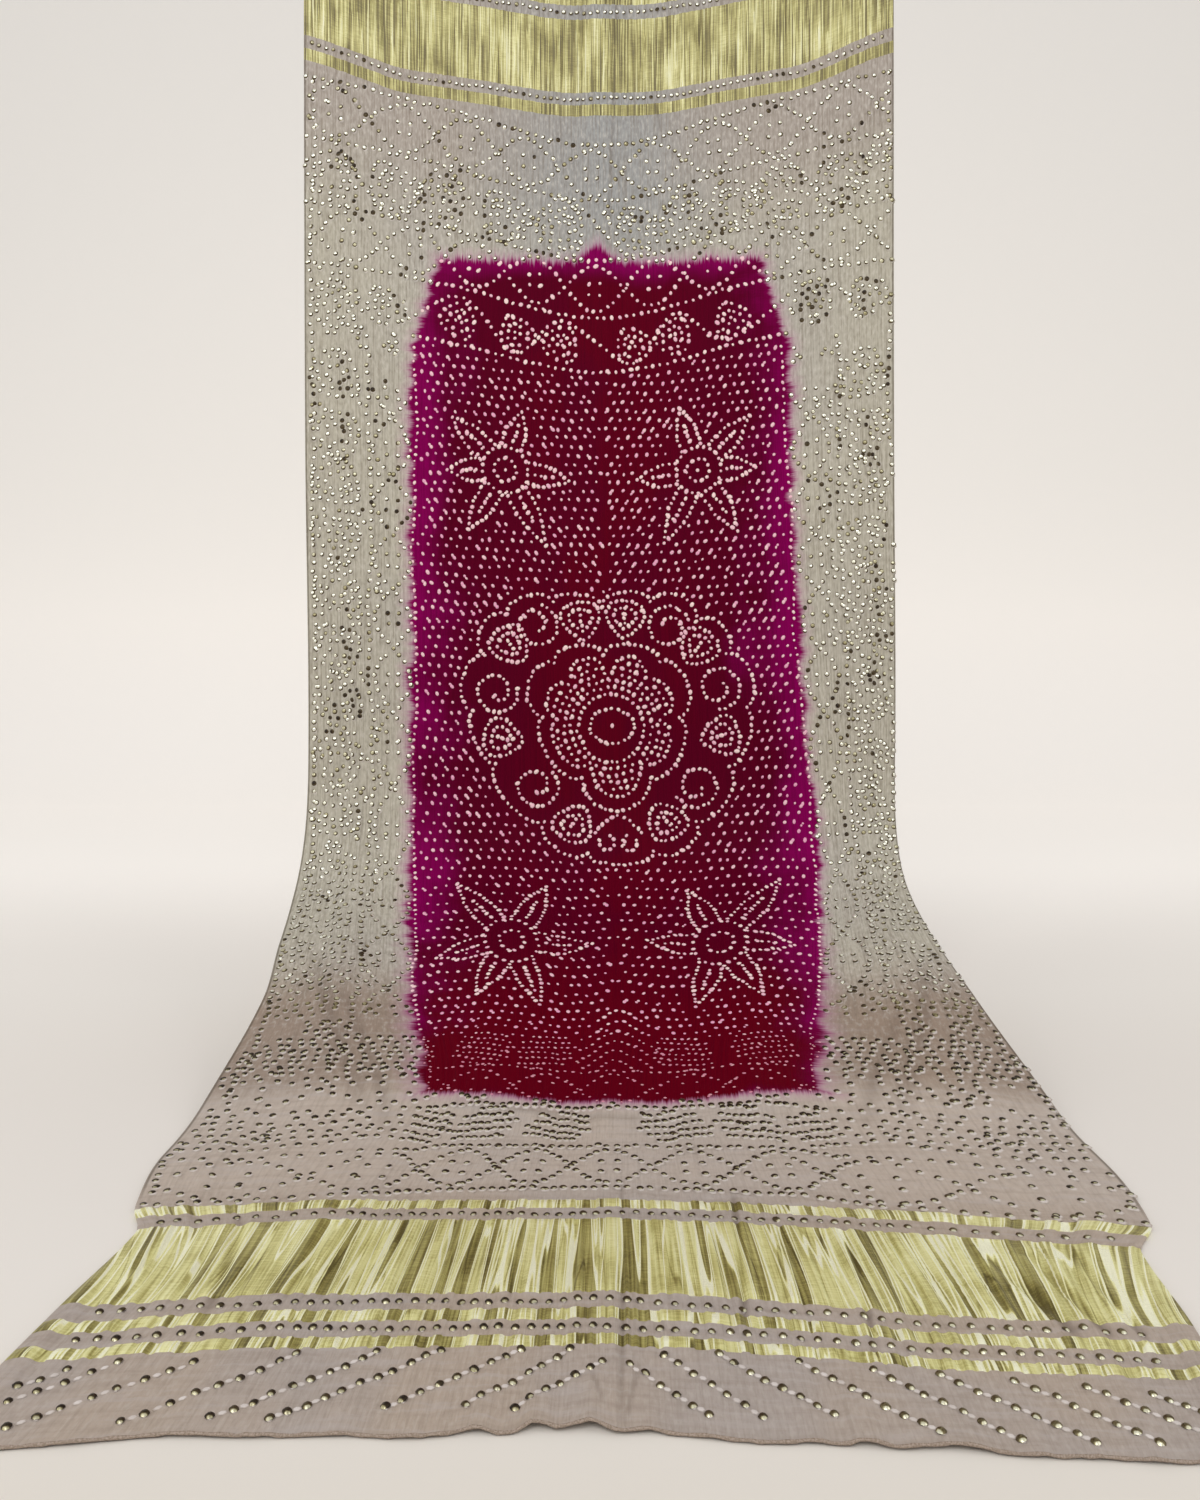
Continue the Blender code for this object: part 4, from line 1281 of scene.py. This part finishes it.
def rolled_hem(name, row, radius=0.0011, sides=8, skip=4):
    """A round tube along one row of the cloth's points, of which it takes one in each skip."""
    line = cloth_points[row, FRONT][::skip]
    along_line = unit(np.gradient(line, axis=0))
    inward = cloth_points[row + (1 if row == 0 else -1), FRONT][::skip] - line
    inward = unit(inward - along_line * np.sum(inward * along_line, axis=1, keepdims=True))
    out = np.cross(along_line, inward)
    angle = np.arange(sides) * math.tau / sides
    swell = radius * (1 + 0.16 * np.sin(np.arange(len(line)) * 1.9))[:, None, None]
    cos, sin = np.cos(angle)[None, :, None], np.sin(angle)[None, :, None]
    tube = line[:, None] + swell * (cos * inward[:, None] + sin * out[:, None])
    tube[..., 2] = np.maximum(tube[..., 2], FLOOR_GAP)
    i = np.arange(len(line) - 1)[:, None] * sides
    k = np.arange(sides)[None]
    after = (k + 1) % sides
    faces = np.stack((i + k, i + after, i + sides + after, i + sides + k), axis=-1).reshape(-1, 4)
    piece = make_mesh(name, tube.reshape(-1, 3), faces, hem_silk)
    flats = np.zeros((len(line), sides, 3))
    flats[..., 0] = cloth_across[row, FRONT][::skip][:, None]
    flats[..., 1] = cloth_along[row] + angle[None] * radius
    put_attribute(piece.data, "flat_place", flats.reshape(-1, 3))
    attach(piece, "root")
    return piece


near_hem = rolled_hem("near_hem", len(cloth_along) - 1)
top_hem = rolled_hem("top_hem", 0)

# ---- Floor and backdrop --------------------------------------------------------------------------
# A plain pale sheet, flat under the cloth and swept up far behind it. The floor is painted darker near
# the front as painted shade, and far behind the cloth the sheet gives off a painted glow of its own.
FLOOR_BEGINS, FLOOR_ENDS, SWEEP_RADIUS = -3.4, 3.2, 0.8
BACKDROP_TOP, BACKDROP_HALF, PAPER_BELOW = 5.0, 5.0, 0.0004
paper, shader, flat = new_finish("pale_paper", roughness=0.9)
shader.inputs["Emission Strength"].default_value = 1.0
tooth = flat.node("ShaderNodeTexNoise", {}, {"Scale": 260.0})
place = flat.node("ShaderNodeTexCoord", out=3)
deep_in, high_up = place.part(1), place.part(2)
# Painted shade darkens the floor near the front, and a painted glow lights the sheet far behind, a little less high
# up
ground = (1 - deep_in.rise(-0.85, -0.30)).mix(dyed(238, 232, 225), dyed(220, 212, 198))
far_glow = high_up.rise(0.1, 1.6).mix((0.275, 0.270, 0.265, 1.0), (0.215, 0.215, 0.21, 1.0))
glow = deep_in.rise(0.0, 1.8).mix((0.0, 0.0, 0.0, 1.0), far_glow)
apply_to(shader, flat, Base_Color=ground, Emission_Color=glow, Normal=tooth.bump(0.0002, 0.15))
profile = [(FLOOR_BEGINS, 0.0), (FLOOR_ENDS, 0.0)]
for t in np.linspace(0.1, math.pi / 2, 14):
    profile.append((FLOOR_ENDS + SWEEP_RADIUS * math.sin(t), SWEEP_RADIUS - SWEEP_RADIUS * math.cos(t)))
profile.append((FLOOR_ENDS + SWEEP_RADIUS, BACKDROP_TOP))
points = np.array([(x, y, z - PAPER_BELOW) for x in (-BACKDROP_HALF, BACKDROP_HALF) for y, z in profile])
k = np.arange(len(profile) - 1)
backdrop = make_mesh("floor", points, np.stack((k, k + len(profile), k + 1 + len(profile), k + 1), axis=1), paper)

# ---- Light ---------------------------------------------------------------------------------------
# Soft studio light: a large panel high in front, one to each side, and a pale room.


def light_panel(name, place, aim, size, watts, colour=(1.0, 1.0, 1.0)):
    data = bpy.data.lights.new(name, "AREA")
    data.shape, data.size, data.size_y = "RECTANGLE", size[0], size[1]
    data.energy, data.color = watts, colour
    light = bpy.data.objects.new(name, data)
    light.location = place
    run = np.array(aim) - np.array(place)
    light.rotation_euler = (math.acos(-run[2] / np.linalg.norm(run)), 0.0, math.atan2(run[1], run[0]) - math.pi / 2)
    bpy.context.scene.collection.objects.link(light)


light_panel("front_light", (-0.5, -2.6, 2.7), (0.0, 0.2, 0.6), (2.6, 1.6), 48)
light_panel("left_light", (-2.6, -0.9, 1.6), (0.0, 0.1, 0.6), (1.6, 2.2), 14)
light_panel("right_light", (2.6, -1.1, 1.7), (0.0, 0.1, 0.6), (1.6, 2.2), 16)
world = bpy.data.worlds.new("pale_room")
world.use_nodes = True
world.node_tree.nodes["Background"].inputs["Color"].default_value = (1.0, 1.0, 1.0, 1.0)
world.node_tree.nodes["Background"].inputs["Strength"].default_value = 0.49
bpy.context.scene.world = world
bpy.context.scene.view_settings.view_transform = "Standard"
